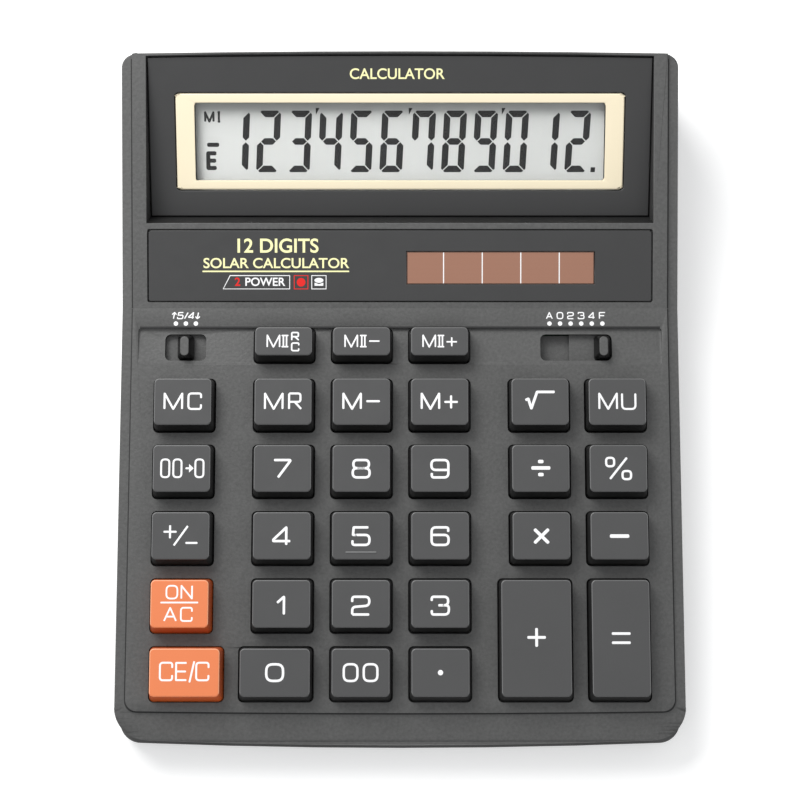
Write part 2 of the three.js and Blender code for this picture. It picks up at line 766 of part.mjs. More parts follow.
function solarPlate() {
  const side = halfWidth - solarPanel.sideMargin - seatGap;
  const depth = solarPanel.back - solarPanel.front - 2 * seatGap;
  const centre = (solarPanel.front + solarPanel.back) / 2;
  const plate = upright(roundedRectangle(2 * side, depth, solarPanel.radius), -solarPanel.thickness, 0);
  const halfW = solarWindow.width / 2;
  const halfD = solarWindow.depth / 2;
  const opening = block([-halfW, -halfD, -wall], [halfW, halfD, wall]);
  opening.translate(solarWindow.centreX, solarWindow.centreBack, 0);
  return solid(plate.translate(0, centre, 0)).subtract(solid(opening));
}

// The cells on their glass: a plate under the panel and a raised face that stands in the window.
function solarCell() {
  const top = -solarPanel.thickness - seatGap;
  const halfW = solarWindow.width / 2;
  const halfD = solarWindow.depth / 2;
  const base = block(
    [-halfW - solarCellBorder, -halfD - solarCellBorder, top - solarCellThickness],
    [halfW + solarCellBorder, halfD + solarCellBorder, top],
  );
  const low = top - solarCellThickness / 2;
  const face = block([seatGap - halfW, seatGap - halfD, low], [halfW - seatGap, halfD - seatGap, -seatGap]);
  const centre = new THREE.Matrix4().makeTranslation(solarWindow.centreX, solarWindow.centreBack, 0);
  return solid(base, centre).add(solid(face, centre));
}

// The dark plate of the display, with an opening for its pale border.
function displayPlate() {
  const side = halfWidth - displayOpening.sideMargin;
  const face = block([-side + seatGap, seatGap, -plateFace], [side - seatGap, displayLength - seatGap, 0]);
  const rear = displayLength - plateFlangeRearInset;
  const core = block(
    [-side + seatGap, seatGap, -plateFace - plateFlange / 2],
    [side - seatGap, rear, -plateFace / 2],
  );
  const flange = block(
    [-side - tubWall, -tubWall, -plateFace - plateFlange],
    [side + tubWall, rear, -plateFace],
  );
  const opening = upright(
    roundedRectangle(border.width + 2 * seatGap, border.depth + 2 * seatGap, border.radius + seatGap),
    -2 * plateFace - plateFlange,
    wall,
  );
  const within = solid(walled(displayStrip + seatGap), display.matrix.clone().invert());
  const plate = solid(face).add(solid(core)).intersect(within).add(solid(flange));
  return plate.subtract(solid(opening.translate(0, border.centre, 0)));
}

function lensBorder() {
  const frame = upright(roundedRectangle(border.width, border.depth, border.radius), -border.thickness, 0);
  const opening = upright(roundedRectangle(windowWidth, windowDepth, windowRadius), -wall, wall);
  return solid(frame).subtract(solid(opening));
}

// A flat sheet under the display plate, centred on the border.
function layer(width, depth, top, thickness) {
  return block([-width / 2, -depth / 2, top - thickness], [width / 2, depth / 2, top]);
}

// The flat ribbon from the back of the glass down to the board, as a side view with a thickness.
function displayRibbon() {
  const glassFront = border.centre - glass.depth / 2;
  const line = [
    sidePoint(display, glassFront + ribbonBond, ribbonTop),
    sidePoint(display, glassFront - ribbonBond / 2, ribbonTop),
    [creaseY + ribbonBend.back, floorTop + ribbonBend.height],
    sidePoint(deck, boardRear + 2 * ribbonBond, boardTop + seatGap + ribbonThickness),
    sidePoint(deck, boardRear - ribbonBond, boardTop + seatGap + ribbonThickness),
  ];
  const under = line.map(([y, z]) => [y, z - ribbonThickness]).reverse();
  return across([...line, ...under], -ribbonHalfWidth, ribbonHalfWidth);
}

// A screw, head down, from its section round the axis.
function screw(length) {
  const headBottom = footHeight + fineGap;
  const headTop = footHeight + screwHeadHeight;
  const section = [
    [0, headBottom],
    [screwHeadRadius, headBottom],
    [screwHeadRadius, headTop],
    [screwShankRadius, headTop],
    [screwShankRadius, headTop + length - screwShankRadius],
    [0, headTop + length],
  ];
  const points = section.map(([r, z]) => new THREE.Vector2(r, z));
  return new THREE.LatheGeometry(points, screwSides).rotateX(Math.PI / 2);
}

function controllerBlob() {
  const points = [];
  for (let i = 0; i <= blobSteps; i++) {
    const angle = (i / blobSteps) * (Math.PI / 2);
    points.push(new THREE.Vector2(blobRadius * Math.sin(angle), -blobHeight * Math.cos(angle)));
  }
  points.push(new THREE.Vector2(0, 0));
  return new THREE.LatheGeometry(points, roundSides).rotateX(Math.PI / 2);
}

// Colours and finishes.
function finish(color, roughness, metalness = 0) {
  return new THREE.MeshStandardMaterial({ color, roughness, metalness });
}
const caseFinish = finish(0x696968, 0.6);
const bottomFinish = finish(0x5c5c5b, 0.65);
const panelFinish = finish(0x474746, 0.5);
const creamFinish = finish(0xfbf3df, 0.45);
const clearFinish = finish(0xe8eef0, 0.05);
const liquidCrystalFinish = finish(0xcfd2cf, 0.3);
const solarFinish = finish(0x9a6a52, 0.3);
const keyFinish = finish(0x575757, 0.5);
const orangeFinish = finish(0xf08a54, 0.5);
const rubberFinish = finish(0x262626, 0.85);
const paleRubberFinish = finish(0xb9b9b4, 0.85);
const boardFinish = finish(0x2f5a36, 0.5);
const resinFinish = finish(0x151515, 0.4);
const ribbonFinish = finish(0xc9b27c, 0.5);
const steelFinish = finish(0xb6b8bb, 0.35, 1);
const brassFinish = finish(0xc7a45c, 0.35, 1);
const foilFinish = finish(0xd9dadb, 0.4, 0.6);

const calculator = new THREE.Group();
calculator.add(deck, upper, display);

function piece(name, shape, material, group = calculator, x = 0, y = 0) {
  const geometry = shape.isBufferGeometry ? shape : geometryOf(shape);
  const mesh = new THREE.Mesh(geometry, material);
  mesh.name = name;
  mesh.position.set(x, y, 0);
  group.add(mesh);
}

piece("top_case", topCase(), caseFinish);
piece("bottom_case", bottomCase(), bottomFinish);

for (const hole of holes) {
  const material = orangeKeys.includes(hole.name) ? orangeFinish : keyFinish;
  piece(`key_${hole.name}`, keyBody(hole), material, deck, hole.x, hole.y);
}
piece("rubber_keypad", rubberKeypad(), paleRubberFinish, deck);
const board = block(
  [-boardHalfWidth, boardFrontMargin, boardTop - boardThickness],
  [boardHalfWidth, boardRear, boardTop],
);
piece("circuit_board", board, boardFinish, deck);
const blob = controllerBlob().translate(0, 0, boardTop - boardThickness - seatGap);
piece("controller_blob", blob, resinFinish, deck, blobX, boardRear - 2 * blobRadius);
for (const slot of slots) {
  piece(`${slot.name}_knob`, sliderBody(), caseFinish, deck, slot.x + slot.rest, slotMiddle);
  piece(`${slot.name}_wiper`, wiperBody(), brassFinish, deck, slot.x + slot.rest, slotMiddle);
}

piece("solar_plate", solarPlate(), panelFinish, upper);
piece("solar_cell", solarCell(), solarFinish, upper);

const lensTop = -border.thickness - seatGap;
const glassTop = -plateFace - plateFlange - seatGap;
const reflectorTop = glassTop - glass.thickness - seatGap;
piece("display_plate", displayPlate(), panelFinish, display);
piece("lens_border", lensBorder(), creamFinish, display, 0, border.centre);
const lensBody = layer(lens.width, lens.depth, lensTop, lens.thickness);
piece("display_lens", lensBody, clearFinish, display, 0, border.centre);
const glassBody = layer(glass.width, glass.depth, glassTop, glass.thickness);
piece("lcd_glass", glassBody, liquidCrystalFinish, display, 0, border.centre);
const reflectorBody = layer(glass.width, glass.depth - 4 * ribbonBond, reflectorTop, reflectorThickness);
piece("lcd_reflector", reflectorBody, foilFinish, display, 0, border.centre);
piece("lcd_ribbon", displayRibbon(), ribbonFinish);

piece("battery_door", batteryDoor(), bottomFinish);
const cell = drum(cellDiameter / 2, bayFloor, bayTop);
piece("button_cell", cell, steelFinish, calculator, 0, cellY);
piece("contact_minus", minusContact(), steelFinish);
piece("contact_plus", plusContact(), steelFinish);
for (const { name, x, y } of footPlaces) {
  piece(`foot_${name}`, drum(footRadius, 0, footHeight + footSeat), rubberFinish, calculator, x, y);
}
for (const { name, x, y, length } of screwPlaces) {
  piece(`case_screw_${name}`, screw(length), steelFinish, calculator, x, y);
}

export default calculator;
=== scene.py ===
import math

import bmesh
import bpy
from mathutils import Matrix, Vector


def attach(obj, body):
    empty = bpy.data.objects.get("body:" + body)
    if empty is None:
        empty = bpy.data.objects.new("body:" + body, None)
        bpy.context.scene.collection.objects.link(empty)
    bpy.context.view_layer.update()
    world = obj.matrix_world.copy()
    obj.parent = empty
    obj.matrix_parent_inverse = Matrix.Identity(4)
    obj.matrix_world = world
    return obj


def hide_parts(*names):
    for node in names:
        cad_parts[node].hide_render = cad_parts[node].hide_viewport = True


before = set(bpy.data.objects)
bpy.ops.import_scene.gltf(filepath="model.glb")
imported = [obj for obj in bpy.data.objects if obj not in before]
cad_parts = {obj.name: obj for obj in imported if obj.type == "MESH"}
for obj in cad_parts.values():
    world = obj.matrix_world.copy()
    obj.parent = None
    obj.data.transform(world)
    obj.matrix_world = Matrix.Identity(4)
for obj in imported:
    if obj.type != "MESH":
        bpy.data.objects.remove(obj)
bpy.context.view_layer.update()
print("frame loaded:", len(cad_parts), "nodes")

mm = 0.001  # pieces are drawn in millimetres and scaled once, when they are finished
slopes = {"level": 0.0, "deck": 2.5, "upper": 11.4, "display": 20.4}  # degrees, rising to the back
inkRise = 0.02  # how far printed ink stands off the plastic


# Placing and finishing pieces.

def toRow(slope):
    return Matrix.Rotation(math.radians(slopes[slope]), 4, "X") @ Matrix.Scale(mm, 4)


def localBox(node, slope):
    # a CAD node's lowest and highest corner in millimetres, in a frame turned to one of the slopes
    back = toRow(slope).inverted()
    points = [back @ v.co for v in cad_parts[node].data.vertices]
    low = Vector([min(p[i] for p in points) for i in range(3)])
    high = Vector([max(p[i] for p in points) for i in range(3)])
    return low, high


def finishPiece(bm, name, body, materials, slope="level", nodes=(), sharpAngle=40, bevel=None):
    bmesh.ops.remove_doubles(bm, verts=bm.verts, dist=0.002)
    bmesh.ops.recalc_face_normals(bm, faces=bm.faces)
    mesh = bpy.data.meshes.new(name)
    bm.to_mesh(mesh)
    bm.free()
    mesh.transform(toRow(slope))
    piece = bpy.data.objects.new(name, mesh)
    bpy.context.scene.collection.objects.link(piece)
    for material in materials:
        mesh.materials.append(material)
    mesh.polygons.foreach_set("use_smooth", [True] * len(mesh.polygons))
    mesh.set_sharp_from_angle(angle=math.radians(sharpAngle))
    if bevel:
        weights = mesh.attributes["bevel_weight_edge"].data
        sharp = mesh.attributes.get("sharp_edge") or mesh.attributes.new("sharp_edge", "BOOLEAN", "EDGE")
        for i, weight in enumerate(weights):
            if weight.value > 0:
                sharp.data[i].value = False
        modifier = piece.modifiers.new("softEdges", "BEVEL")
        modifier.limit_method = "WEIGHT"
        modifier.offset_type = "OFFSET"
        modifier.width = bevel["width"] * mm
        modifier.segments = bevel["segments"]
        modifier.use_clamp_overlap = False
        modifier.miter_outer = "MITER_SHARP"
    modifier = piece.modifiers.new("flatFaces", "WEIGHTED_NORMAL")
    modifier.keep_sharp = True
    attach(piece, body)
    if nodes:
        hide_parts(*nodes)
    return piece


def cadCopy(node, slope="level", mergeFrom=-1000):
    # a CAD node's shape with its triangles merged back into flat faces, in millimetres;
    # the curved parts in front of mergeFrom are left as they are
    bm = bmesh.new()
    bm.from_mesh(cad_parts[node].data)
    bm.transform(toRow(slope).inverted())
    bmesh.ops.remove_doubles(bm, verts=bm.verts, dist=0.002)
    behind = [v for v in bm.verts if v.co.y > mergeFrom]
    edges = [e for e in bm.edges if min(v.co.y for v in e.verts) > mergeFrom]
    bmesh.ops.dissolve_limit(bm, angle_limit=math.radians(0.15), verts=behind, edges=edges)
    bmesh.ops.dissolve_degenerate(bm, dist=0.01, edges=bm.edges)
    bmesh.ops.triangulate(bm, faces=[f for f in bm.faces if len(f.verts) > 4])
    return bm


def weighEdges(bm, widest, widthOf, least=35):
    # marks each outward edge with the width of its soft edge, as a share of the widest
    layer = bm.edges.layers.float.new("bevel_weight_edge")
    for edge in bm.edges:
        if len(edge.link_faces) != 2 or not edge.is_convex:
            continue
        if edge.calc_face_angle(0) < math.radians(least):
            continue
        middle = (edge.verts[0].co + edge.verts[1].co) / 2
        normals = [face.normal for face in edge.link_faces]
        edge[layer] = widthOf(middle, normals) / widest


def cubeBetween(bm, low, high):
    made = bmesh.ops.create_cube(bm, size=1)["verts"]
    size = Vector(high) - Vector(low)
    bmesh.ops.scale(bm, vec=size, verts=made)
    bmesh.ops.translate(bm, vec=(Vector(low) + Vector(high)) / 2, verts=made)
    return made


def facing(bm, direction):
    # the one face that looks most along a direction, and lies furthest that way
    direction = Vector(direction)
    bm.normal_update()
    flat = [f for f in bm.faces if f.normal.dot(direction) > 0.9]
    return max(flat, key=lambda f: f.calc_center_median().dot(direction))


def insetTo(bm, face, low, high):
    # a smaller face inside this one, with its corners on a rectangle
    bmesh.ops.inset_individual(bm, faces=[face], thickness=0.2)
    middle = face.calc_center_median()
    for v in face.verts:
        v.co.x = high[0] if v.co.x > middle.x else low[0]
        v.co.y = high[1] if v.co.y > middle.y else low[1]
    return face


def pullOut(bm, face, rise, scale=(1, 1), shift=0):
    # extrudes one face straight up or down, and leans the new walls in
    face = bmesh.ops.extrude_discrete_faces(bm, faces=[face])["faces"][0]
    middle = face.calc_center_median()
    for v in face.verts:
        v.co.x = middle.x + (v.co.x - middle.x) * scale[0]
        v.co.y = middle.y + (v.co.y - middle.y) * scale[1] + shift
        v.co.z += rise
    return face


def upEdges(bm, low, high):
    # the four corner edges of a post between two heights
    found = []
    for edge in bm.edges:
        a, b = edge.verts[0].co, edge.verts[1].co
        if min(a.z, b.z) > low - 0.01 and max(a.z, b.z) < high + 0.01 and abs(a.z - b.z) > 0.1:
            found.append(edge)
    return found


def roundEdges(bm, edges, radius, segments):
    return bmesh.ops.bevel(bm, geom=edges, offset=radius, offset_type="OFFSET", segments=segments,
                           profile=0.5, affect="EDGES", clamp_overlap=True, material=-1)


# Materials.

def linear(red, green, blue):
    # a colour given as it looks on a screen, 0 to 255
    def one(value):
        value /= 255
        return value / 12.92 if value <= 0.04045 else ((value + 0.055) / 1.055) ** 2.4
    return (one(red), one(green), one(blue), 1)


def noise(tree, scale, detail=2.0, roughness=0.5):
    node = tree.nodes.new("ShaderNodeTexNoise")
    node.inputs["Scale"].default_value = scale
    node.inputs["Detail"].default_value = detail
    node.inputs["Roughness"].default_value = roughness
    coordinates = tree.nodes.new("ShaderNodeTexCoord")
    tree.links.new(coordinates.outputs["Object"], node.inputs["Vector"])
    return node.outputs["Fac"]


def mapped(tree, value, low, high, fromLow=0.3, fromHigh=0.7):
    node = tree.nodes.new("ShaderNodeMapRange")
    node.inputs["From Min"].default_value = fromLow
    node.inputs["From Max"].default_value = fromHigh
    node.inputs["To Min"].default_value = low
    node.inputs["To Max"].default_value = high
    tree.links.new(value, node.inputs["Value"])
    return node.outputs["Result"]


def mixed(tree, factor, first, second):
    node = tree.nodes.new("ShaderNodeMix")
    node.data_type = "RGBA"
    tree.links.new(factor, node.inputs["Factor"])
    for socket, value in ((node.inputs["A"], first), (node.inputs["B"], second)):
        if isinstance(value, tuple):
            socket.default_value = value
        else:
            tree.links.new(value, socket)
    return node.outputs["Result"]


def shaded(colour, share):
    return tuple(c * share for c in colour[:3]) + (1,)


def startMaterial(name):
    material = bpy.data.materials.new(name)
    material.use_nodes = True
    return material, material.node_tree, material.node_tree.nodes["Principled BSDF"]


def plastic(name, colour, roughness, grain=0.3, depth=0.012, mottle=0.05, speckle=0.06, metallic=0.0, coat=0.0):
    # moulded plastic, rubber or metal: a fine grain in relief, a soft mottle in its colour, an uneven gloss
    material, tree, shader = startMaterial(name)
    fine = noise(tree, 1 / (grain * mm), 3, 0.6)
    broad = noise(tree, 45, 4, 0.55)
    cloudy = mixed(tree, mapped(tree, broad, 0, 1), shaded(colour, 1 - mottle), shaded(colour, 1 + mottle))
    flecked = mixed(tree, mapped(tree, fine, 0, 1), shaded(colour, 1 - speckle), shaded(colour, 1 + speckle))
    half = tree.nodes.new("ShaderNodeMix")
    half.data_type = "RGBA"
    half.inputs["Factor"].default_value = 0.5
    tree.links.new(cloudy, half.inputs["A"])
    tree.links.new(flecked, half.inputs["B"])
    tree.links.new(half.outputs["Result"], shader.inputs["Base Color"])
    handled = noise(tree, 150, 5, 0.65)
    tree.links.new(mapped(tree, handled, roughness - 0.06, roughness + 0.07), shader.inputs["Roughness"])
    bump = tree.nodes.new("ShaderNodeBump")
    bump.inputs["Distance"].default_value = depth * mm
    tree.links.new(fine, bump.inputs["Height"])
    tree.links.new(bump.outputs["Normal"], shader.inputs["Normal"])
    shader.inputs["Metallic"].default_value = metallic
    shader.inputs["Coat Weight"].default_value = coat
    shader.inputs["Coat Roughness"].default_value = 0.15
    return material


def stripedCells(name):
    # amorphous silicon behind glass: fine lines across a brown film
    material, tree, shader = startMaterial(name)
    wave = tree.nodes.new("ShaderNodeTexWave")
    wave.wave_type = "BANDS"
    wave.bands_direction = "Y"
    wave.inputs["Scale"].default_value = 900
    wave.inputs["Distortion"].default_value = 0.4
    coordinates = tree.nodes.new("ShaderNodeTexCoord")
    tree.links.new(coordinates.outputs["Object"], wave.inputs["Vector"])
    film = linear(156, 110, 88)
    lined = mixed(tree, mapped(tree, wave.outputs["Fac"], 0, 1, 0, 1), shaded(film, 0.94), shaded(film, 1.05))
    tree.links.new(lined, shader.inputs["Base Color"])
    tree.links.new(mapped(tree, noise(tree, 90, 3), 0.26, 0.4), shader.inputs["Roughness"])
    shader.inputs["Coat Weight"].default_value = 0.6
    shader.inputs["Coat Roughness"].default_value = 0.08
    return material


def clearLens(name):
    # clear acrylic that lets the lamps through, with faint smears in its gloss; it bends light less than real
    # acrylic does, so that the sky's mirror image doesn't cover the figures
    material, tree, shader = startMaterial(name)
    shader.inputs["Base Color"].default_value = (0.985, 0.99, 0.985, 1)
    shader.inputs["Transmission Weight"].default_value = 1
    shader.inputs["IOR"].default_value = 1.22
    tree.links.new(mapped(tree, noise(tree, 60, 4), 0.01, 0.05), shader.inputs["Roughness"])
    through = tree.nodes.new("ShaderNodeBsdfTransparent")
    light = tree.nodes.new("ShaderNodeLightPath")
    mix = tree.nodes.new("ShaderNodeMixShader")
    output = tree.nodes["Material Output"]
    tree.links.new(light.outputs["Is Shadow Ray"], mix.inputs["Fac"])
    tree.links.new(shader.outputs["BSDF"], mix.inputs[1])
    tree.links.new(through.outputs["BSDF"], mix.inputs[2])
    tree.links.new(mix.outputs["Shader"], output.inputs["Surface"])
    return material


caseGrey = plastic("caseGrey", linear(84, 84, 83), 0.5, grain=0.85, depth=0.08, mottle=0.07, speckle=0.3)
bandGrey = plastic("bandGrey", linear(88, 88, 87), 0.5, grain=0.6, depth=0.03, mottle=0.05, speckle=0.12)
# dark grey for the painted shadow strips along the case's steps and recess
paintedShadeStrip = plastic("paintedShadeStrip", linear(30, 30, 30), 0.6, grain=0.6, depth=0.02, mottle=0.05, speckle=0.1)
panelDark = plastic("panelDark", linear(58, 58, 58), 0.42, grain=0.3, depth=0.008, mottle=0.05, speckle=0.08)
# near black, painted shade for the walls of the deck's holes and the lens border's inner walls
paintedShadeBlack = plastic("paintedShadeBlack", linear(24, 24, 24), 0.5, grain=0.4, depth=0.01, mottle=0.05, speckle=0.08)
keyGrey = plastic("keyGrey", linear(76, 76, 76), 0.4, grain=0.28, depth=0.008, mottle=0.05, speckle=0.06)
# the lighter edge colours are painted highlights and the dark wall colours painted shade, on grey and orange keys
# alike
paintedHighlightGrey = plastic("paintedHighlightGrey", linear(112, 112, 112), 0.36, grain=0.28, depth=0.004, mottle=0.05, speckle=0.04)
paintedShadeWallGrey = plastic("paintedShadeWallGrey", linear(13, 13, 13), 0.34, grain=0.28, depth=0.003, mottle=0.05, speckle=0.04)
keyOrange = plastic("keyOrange", linear(232, 131, 82), 0.42, grain=0.28, depth=0.006, mottle=0.03, speckle=0.03)
paintedHighlightOrange = plastic("paintedHighlightOrange", linear(244, 172, 132), 0.38, grain=0.28, depth=0.004, mottle=0.03,
                        speckle=0.03)
paintedShadeWallOrange = plastic("paintedShadeWallOrange", linear(196, 84, 26), 0.34, grain=0.28, depth=0.003, mottle=0.04,
                        speckle=0.03)
legendWhite = plastic("legendWhite", linear(250, 250, 250), 0.5, grain=0.15, depth=0.002, mottle=0.02, speckle=0.02)
printYellow = plastic("printYellow", linear(250, 247, 186), 0.55, grain=0.15, depth=0.002, mottle=0.02, speckle=0.02)
printRed = plastic("printRed", linear(226, 18, 8), 0.55, grain=0.15, depth=0.002, mottle=0.03, speckle=0.03)
borderCream = plastic("borderCream", linear(248, 235, 204), 0.36, grain=0.3, depth=0.003, mottle=0.025, speckle=0.02)
lcdFace = plastic("lcdFace", linear(194, 195, 193), 0.42, grain=0.2, depth=0.002, mottle=0.015, speckle=0.02)
lcdInk = plastic("lcdInk", linear(10, 10, 10), 0.5, grain=0.2, depth=0.001, mottle=0.05, speckle=0.05)
footRubber = plastic("footRubber", linear(38, 38, 38), 0.8, grain=0.5, depth=0.03, mottle=0.08, speckle=0.1)
keypadRubber = plastic("keypadRubber", linear(150, 150, 146), 0.75, grain=0.4, depth=0.01, mottle=0.05)
boardGreen = plastic("boardGreen", linear(40, 92, 52), 0.4, grain=0.8, depth=0.01, mottle=0.08, coat=0.4)
resinBlack = plastic("resinBlack", linear(20, 20, 20), 0.3, grain=1.2, depth=0.02, mottle=0.1)
ribbonFilm = plastic("ribbonFilm", linear(196, 168, 112), 0.4, grain=0.6, depth=0.004, mottle=0.06)
foil = plastic("foil", linear(214, 215, 216), 0.35, grain=0.5, depth=0.006, mottle=0.04, metallic=0.8)
steel = plastic("steel", linear(172, 174, 177), 0.32, grain=0.2, depth=0.004, mottle=0.06, metallic=1.0)
darkSteel = plastic("darkSteel", linear(96, 97, 99), 0.36, grain=0.2, depth=0.004, mottle=0.08, metallic=1.0)
brass = plastic("brass", linear(198, 164, 94), 0.32, grain=0.2, depth=0.004, mottle=0.06, metallic=1.0)
solarBrown = stripedCells("solarBrown")
acrylic = clearLens("acrylic")
print("materials ready")


# Top case.

topForm = {
    "sideEdge": 0.32,  # soft edge along the sides, at its widest
    "rearEdge": 0.2,
    "fineEdge": 0.2,  # openings
    "stripEdge": 0.12,  # the narrow strip behind the display
    "deckX": 76.3,
    "deckMargin": 1,  # the walls of the deck's openings start this far in from its sides
    "deckFront": -88.4,
    "stepDepth": 1.2,
    "deckBack": 25.4,
    "openingX": 72.6,
    "openingFront": 48.9,
    "tubSteep": 0.8,  # a face whose normal rises less than this is a wall
    "holeSteep": 0.6,
    "segments": 4,
    "bandX": 77.6,  # the rim lies outside these
    "bandFront": -91.5,
    "bandRear": 94.0,
}


def topEdgeWidth(middle, normals):
    up = max(normals, key=lambda n: n.z)
    wall = min(normals, key=lambda n: n.z)
    outer = (abs(middle.x) > topForm["bandX"] or middle.y < topForm["bandFront"]
             or middle.y > topForm["bandRear"])
    if up.z > 0.75 and outer:
        if wall.y < -0.05:
            return 0  # the front is rounded already
        return topForm["sideEdge"] + max(0, wall.y) ** 2 * (topForm["rearEdge"] - topForm["sideEdge"])
    if abs(middle.x) < topForm["bandX"] and middle.y < topForm["deckBack"]:
        return 0  # the deck's step and its holes stay crisp
    if up.z > 0.75 and middle.y > topForm["bandRear"] - 2:
        return topForm["stripEdge"]
    if up.z > 0.75 or (outer and wall.z < -0.75):
        return topForm["fineEdge"]
    return 0


bm = cadCopy("top_case", mergeFrom=topForm["deckFront"])
weighEdges(bm, topForm["sideEdge"], topEdgeWidth)
for face in bm.faces:  # painted shade: the walls round the sunk display take the panel's darker grey, and the walls of the deck's holes a near black
    middle = face.calc_center_median()
    rise = abs(face.normal.z)
    within = abs(middle.x) < topForm["openingX"] and middle.y > topForm["openingFront"] and face.normal.y < 0.3
    inDeck = (abs(middle.x) < topForm["deckX"] - topForm["deckMargin"]
              and middle.y > topForm["deckFront"] + topForm["stepDepth"])
    if within:
        face.material_index = 2 if rise < topForm["tubSteep"] else 0
    else:
        face.material_index = 1 if inDeck and rise < topForm["holeSteep"] else 0
finishPiece(bm, "topCaseShell", "case", [caseGrey, paintedShadeBlack, panelDark], nodes=["top_case"],
            bevel={"width": topForm["sideEdge"], "segments": topForm["segments"]})
print("top case done")


# Bottom case, seen as a thin ledge along the front and as the whole underside.

bottomForm = {"edge": 0.6, "ledgeEdge": 0.45, "fineEdge": 0.25, "segments": 3, "innerX": 74, "innerY": 93}


def bottomEdgeWidth(middle, normals):
    down = min(normals, key=lambda n: n.z)
    up = max(normals, key=lambda n: n.z)
    outer = abs(middle.x) > bottomForm["innerX"] or abs(middle.y) > bottomForm["innerY"]
    if outer and (down.z < -0.8 or up.z > 0.8):
        return bottomForm["edge"] if down.z < -0.8 else bottomForm["ledgeEdge"]
    return bottomForm["fineEdge"] if down.z < -0.8 else 0


bm = cadCopy("bottom_case")
weighEdges(bm, bottomForm["edge"], bottomEdgeWidth)
finishPiece(bm, "bottomCaseTray", "case", [bandGrey], nodes=["bottom_case"],
            bevel={"width": bottomForm["edge"], "segments": bottomForm["segments"]})
print("bottom case done")


# Lettering: every glyph is a set of lines in a unit box, (corner radius, closed, points).

glyphs = {
    "0": [(0.4, True, [(0, 0), (1, 0), (1, 1), (0, 1)])],
    "1": [(0.05, False, [(0, 0.66), (0.82, 1), (0.82, 0)])],
    "2": [(0.26, False, [(0, 0.7), (0, 1), (1, 1), (1, 0.5), (0, 0.42), (0, 0)]), (0, False, [(0, 0), (1, 0)])],
    "3": [(0.26, False, [(0, 0.76), (0, 1), (0.96, 1), (0.96, 0.52), (0.38, 0.52)]),
          (0.26, False, [(0.6, 0.52), (1, 0.52), (1, 0), (0, 0), (0, 0.25)])],
    "4": [(0.03, False, [(0.76, 0), (0.76, 1), (0, 0.3), (0, 0.22), (1, 0.22)])],
    "5": [(0.03, False, [(0.94, 1), (0.07, 1), (0.03, 0.57), (0.3, 0.57)]),
          (0.26, False, [(0.1, 0.57), (1, 0.57), (1, 0), (0, 0), (0, 0.27)])],
    "6": [(0.26, False, [(0.98, 0.74), (0.98, 1), (0, 1), (0, 0), (1, 0), (1, 0.57), (0.05, 0.57)])],
    "7": [(0.1, False, [(0, 1), (1, 1), (0.24, 0)])],
    "8": [(0.24, True, [(0.04, 0.53), (0.96, 0.53), (0.96, 1), (0.04, 1)]),
          (0.26, True, [(0, 0), (1, 0), (1, 0.53), (0, 0.53)])],
    "9": [(0.26, False, [(0.02, 0.26), (0.02, 0), (1, 0), (1, 1), (0, 1), (0, 0.43), (0.95, 0.43)])],
    "A": [(0.04, False, [(0, 0), (0.5, 1), (1, 0)]), (0, False, [(0.2, 0.33), (0.8, 0.33)])],
    "C": [(0.26, False, [(1, 0.7), (1, 1), (0, 1), (0, 0), (1, 0), (1, 0.3)])],
    "E": [(0.03, False, [(1, 1), (0, 1), (0, 0), (1, 0)]), (0, False, [(0, 0.5), (0.95, 0.5)])],
    "F": [(0.03, False, [(1, 1), (0, 1), (0, 0)]), (0, False, [(0, 0.5), (0.85, 0.5)])],
    "I": [(0, False, [(0.5, 0), (0.5, 1)]), (0, False, [(0, 1), (1, 1)]), (0, False, [(0, 0), (1, 0)])],
    "M": [(0.02, False, [(0, 0), (0, 1), (0.5, 0), (1, 1), (1, 0)])],
    "N": [(0.02, False, [(0, 0), (0, 1), (1, 0), (1, 1)])],
    "R": [(0, False, [(0, 0), (0, 1)]), (0.2, False, [(0, 1), (0.94, 1), (0.94, 0.46), (0, 0.46)]),
          (0, False, [(0.46, 0.46), (1, 0)])],
    "U": [(0.3, False, [(0, 1), (0, 0), (1, 0), (1, 1)])],
    "II": [(0, False, [(0, 1), (1, 1)]), (0, False, [(0, 0), (1, 0)]),
           (0, False, [(0.27, 0), (0.27, 1)]), (0, False, [(0.73, 0), (0.73, 1)])],
    "plus": [(0, False, [(0, 0.5), (1, 0.5)]), (0, False, [(0.5, 0), (0.5, 1)])],
    "bar": [(0, False, [(0, 0.5), (1, 0.5)])],
    "cross": [(0, False, [(0, 0), (1, 1)]), (0, False, [(0, 1), (1, 0)])],
    "slash": [(0, False, [(0, 0), (1, 1)])],
    "root": [(0.02, False, [(0, 0.5), (0.1, 0.58), (0.2, 0), (0.4, 1), (1, 1)])],
    "up": [(0.02, False, [(0.1, 0.66), (0.5, 1), (0.9, 0.66)]), (0, False, [(0.5, 0), (0.5, 1)])],
    "down": [(0.02, False, [(0.1, 0.34), (0.5, 0), (0.9, 0.34)]), (0, False, [(0.5, 0), (0.5, 1)])],
}


def roundedPath(points, radius, closed):
    # the same line with its corners rounded off
    if radius <= 0:
        return list(points)
    turned = []
    count = len(points)
    for i, point in enumerate(points):
        if not closed and i in (0, count - 1):
            turned.append(point)
            continue
        before, after = points[i - 1] - point, points[(i + 1) % count] - point
        reach = min(radius, before.length * 0.48, after.length * 0.48)
        start, end = point + before.normalized() * reach, point + after.normalized() * reach
        for step in range(6):
            t = step / 5
            turned.append(start * (1 - t) ** 2 + point * 2 * t * (1 - t) + end * t ** 2)
    return turned


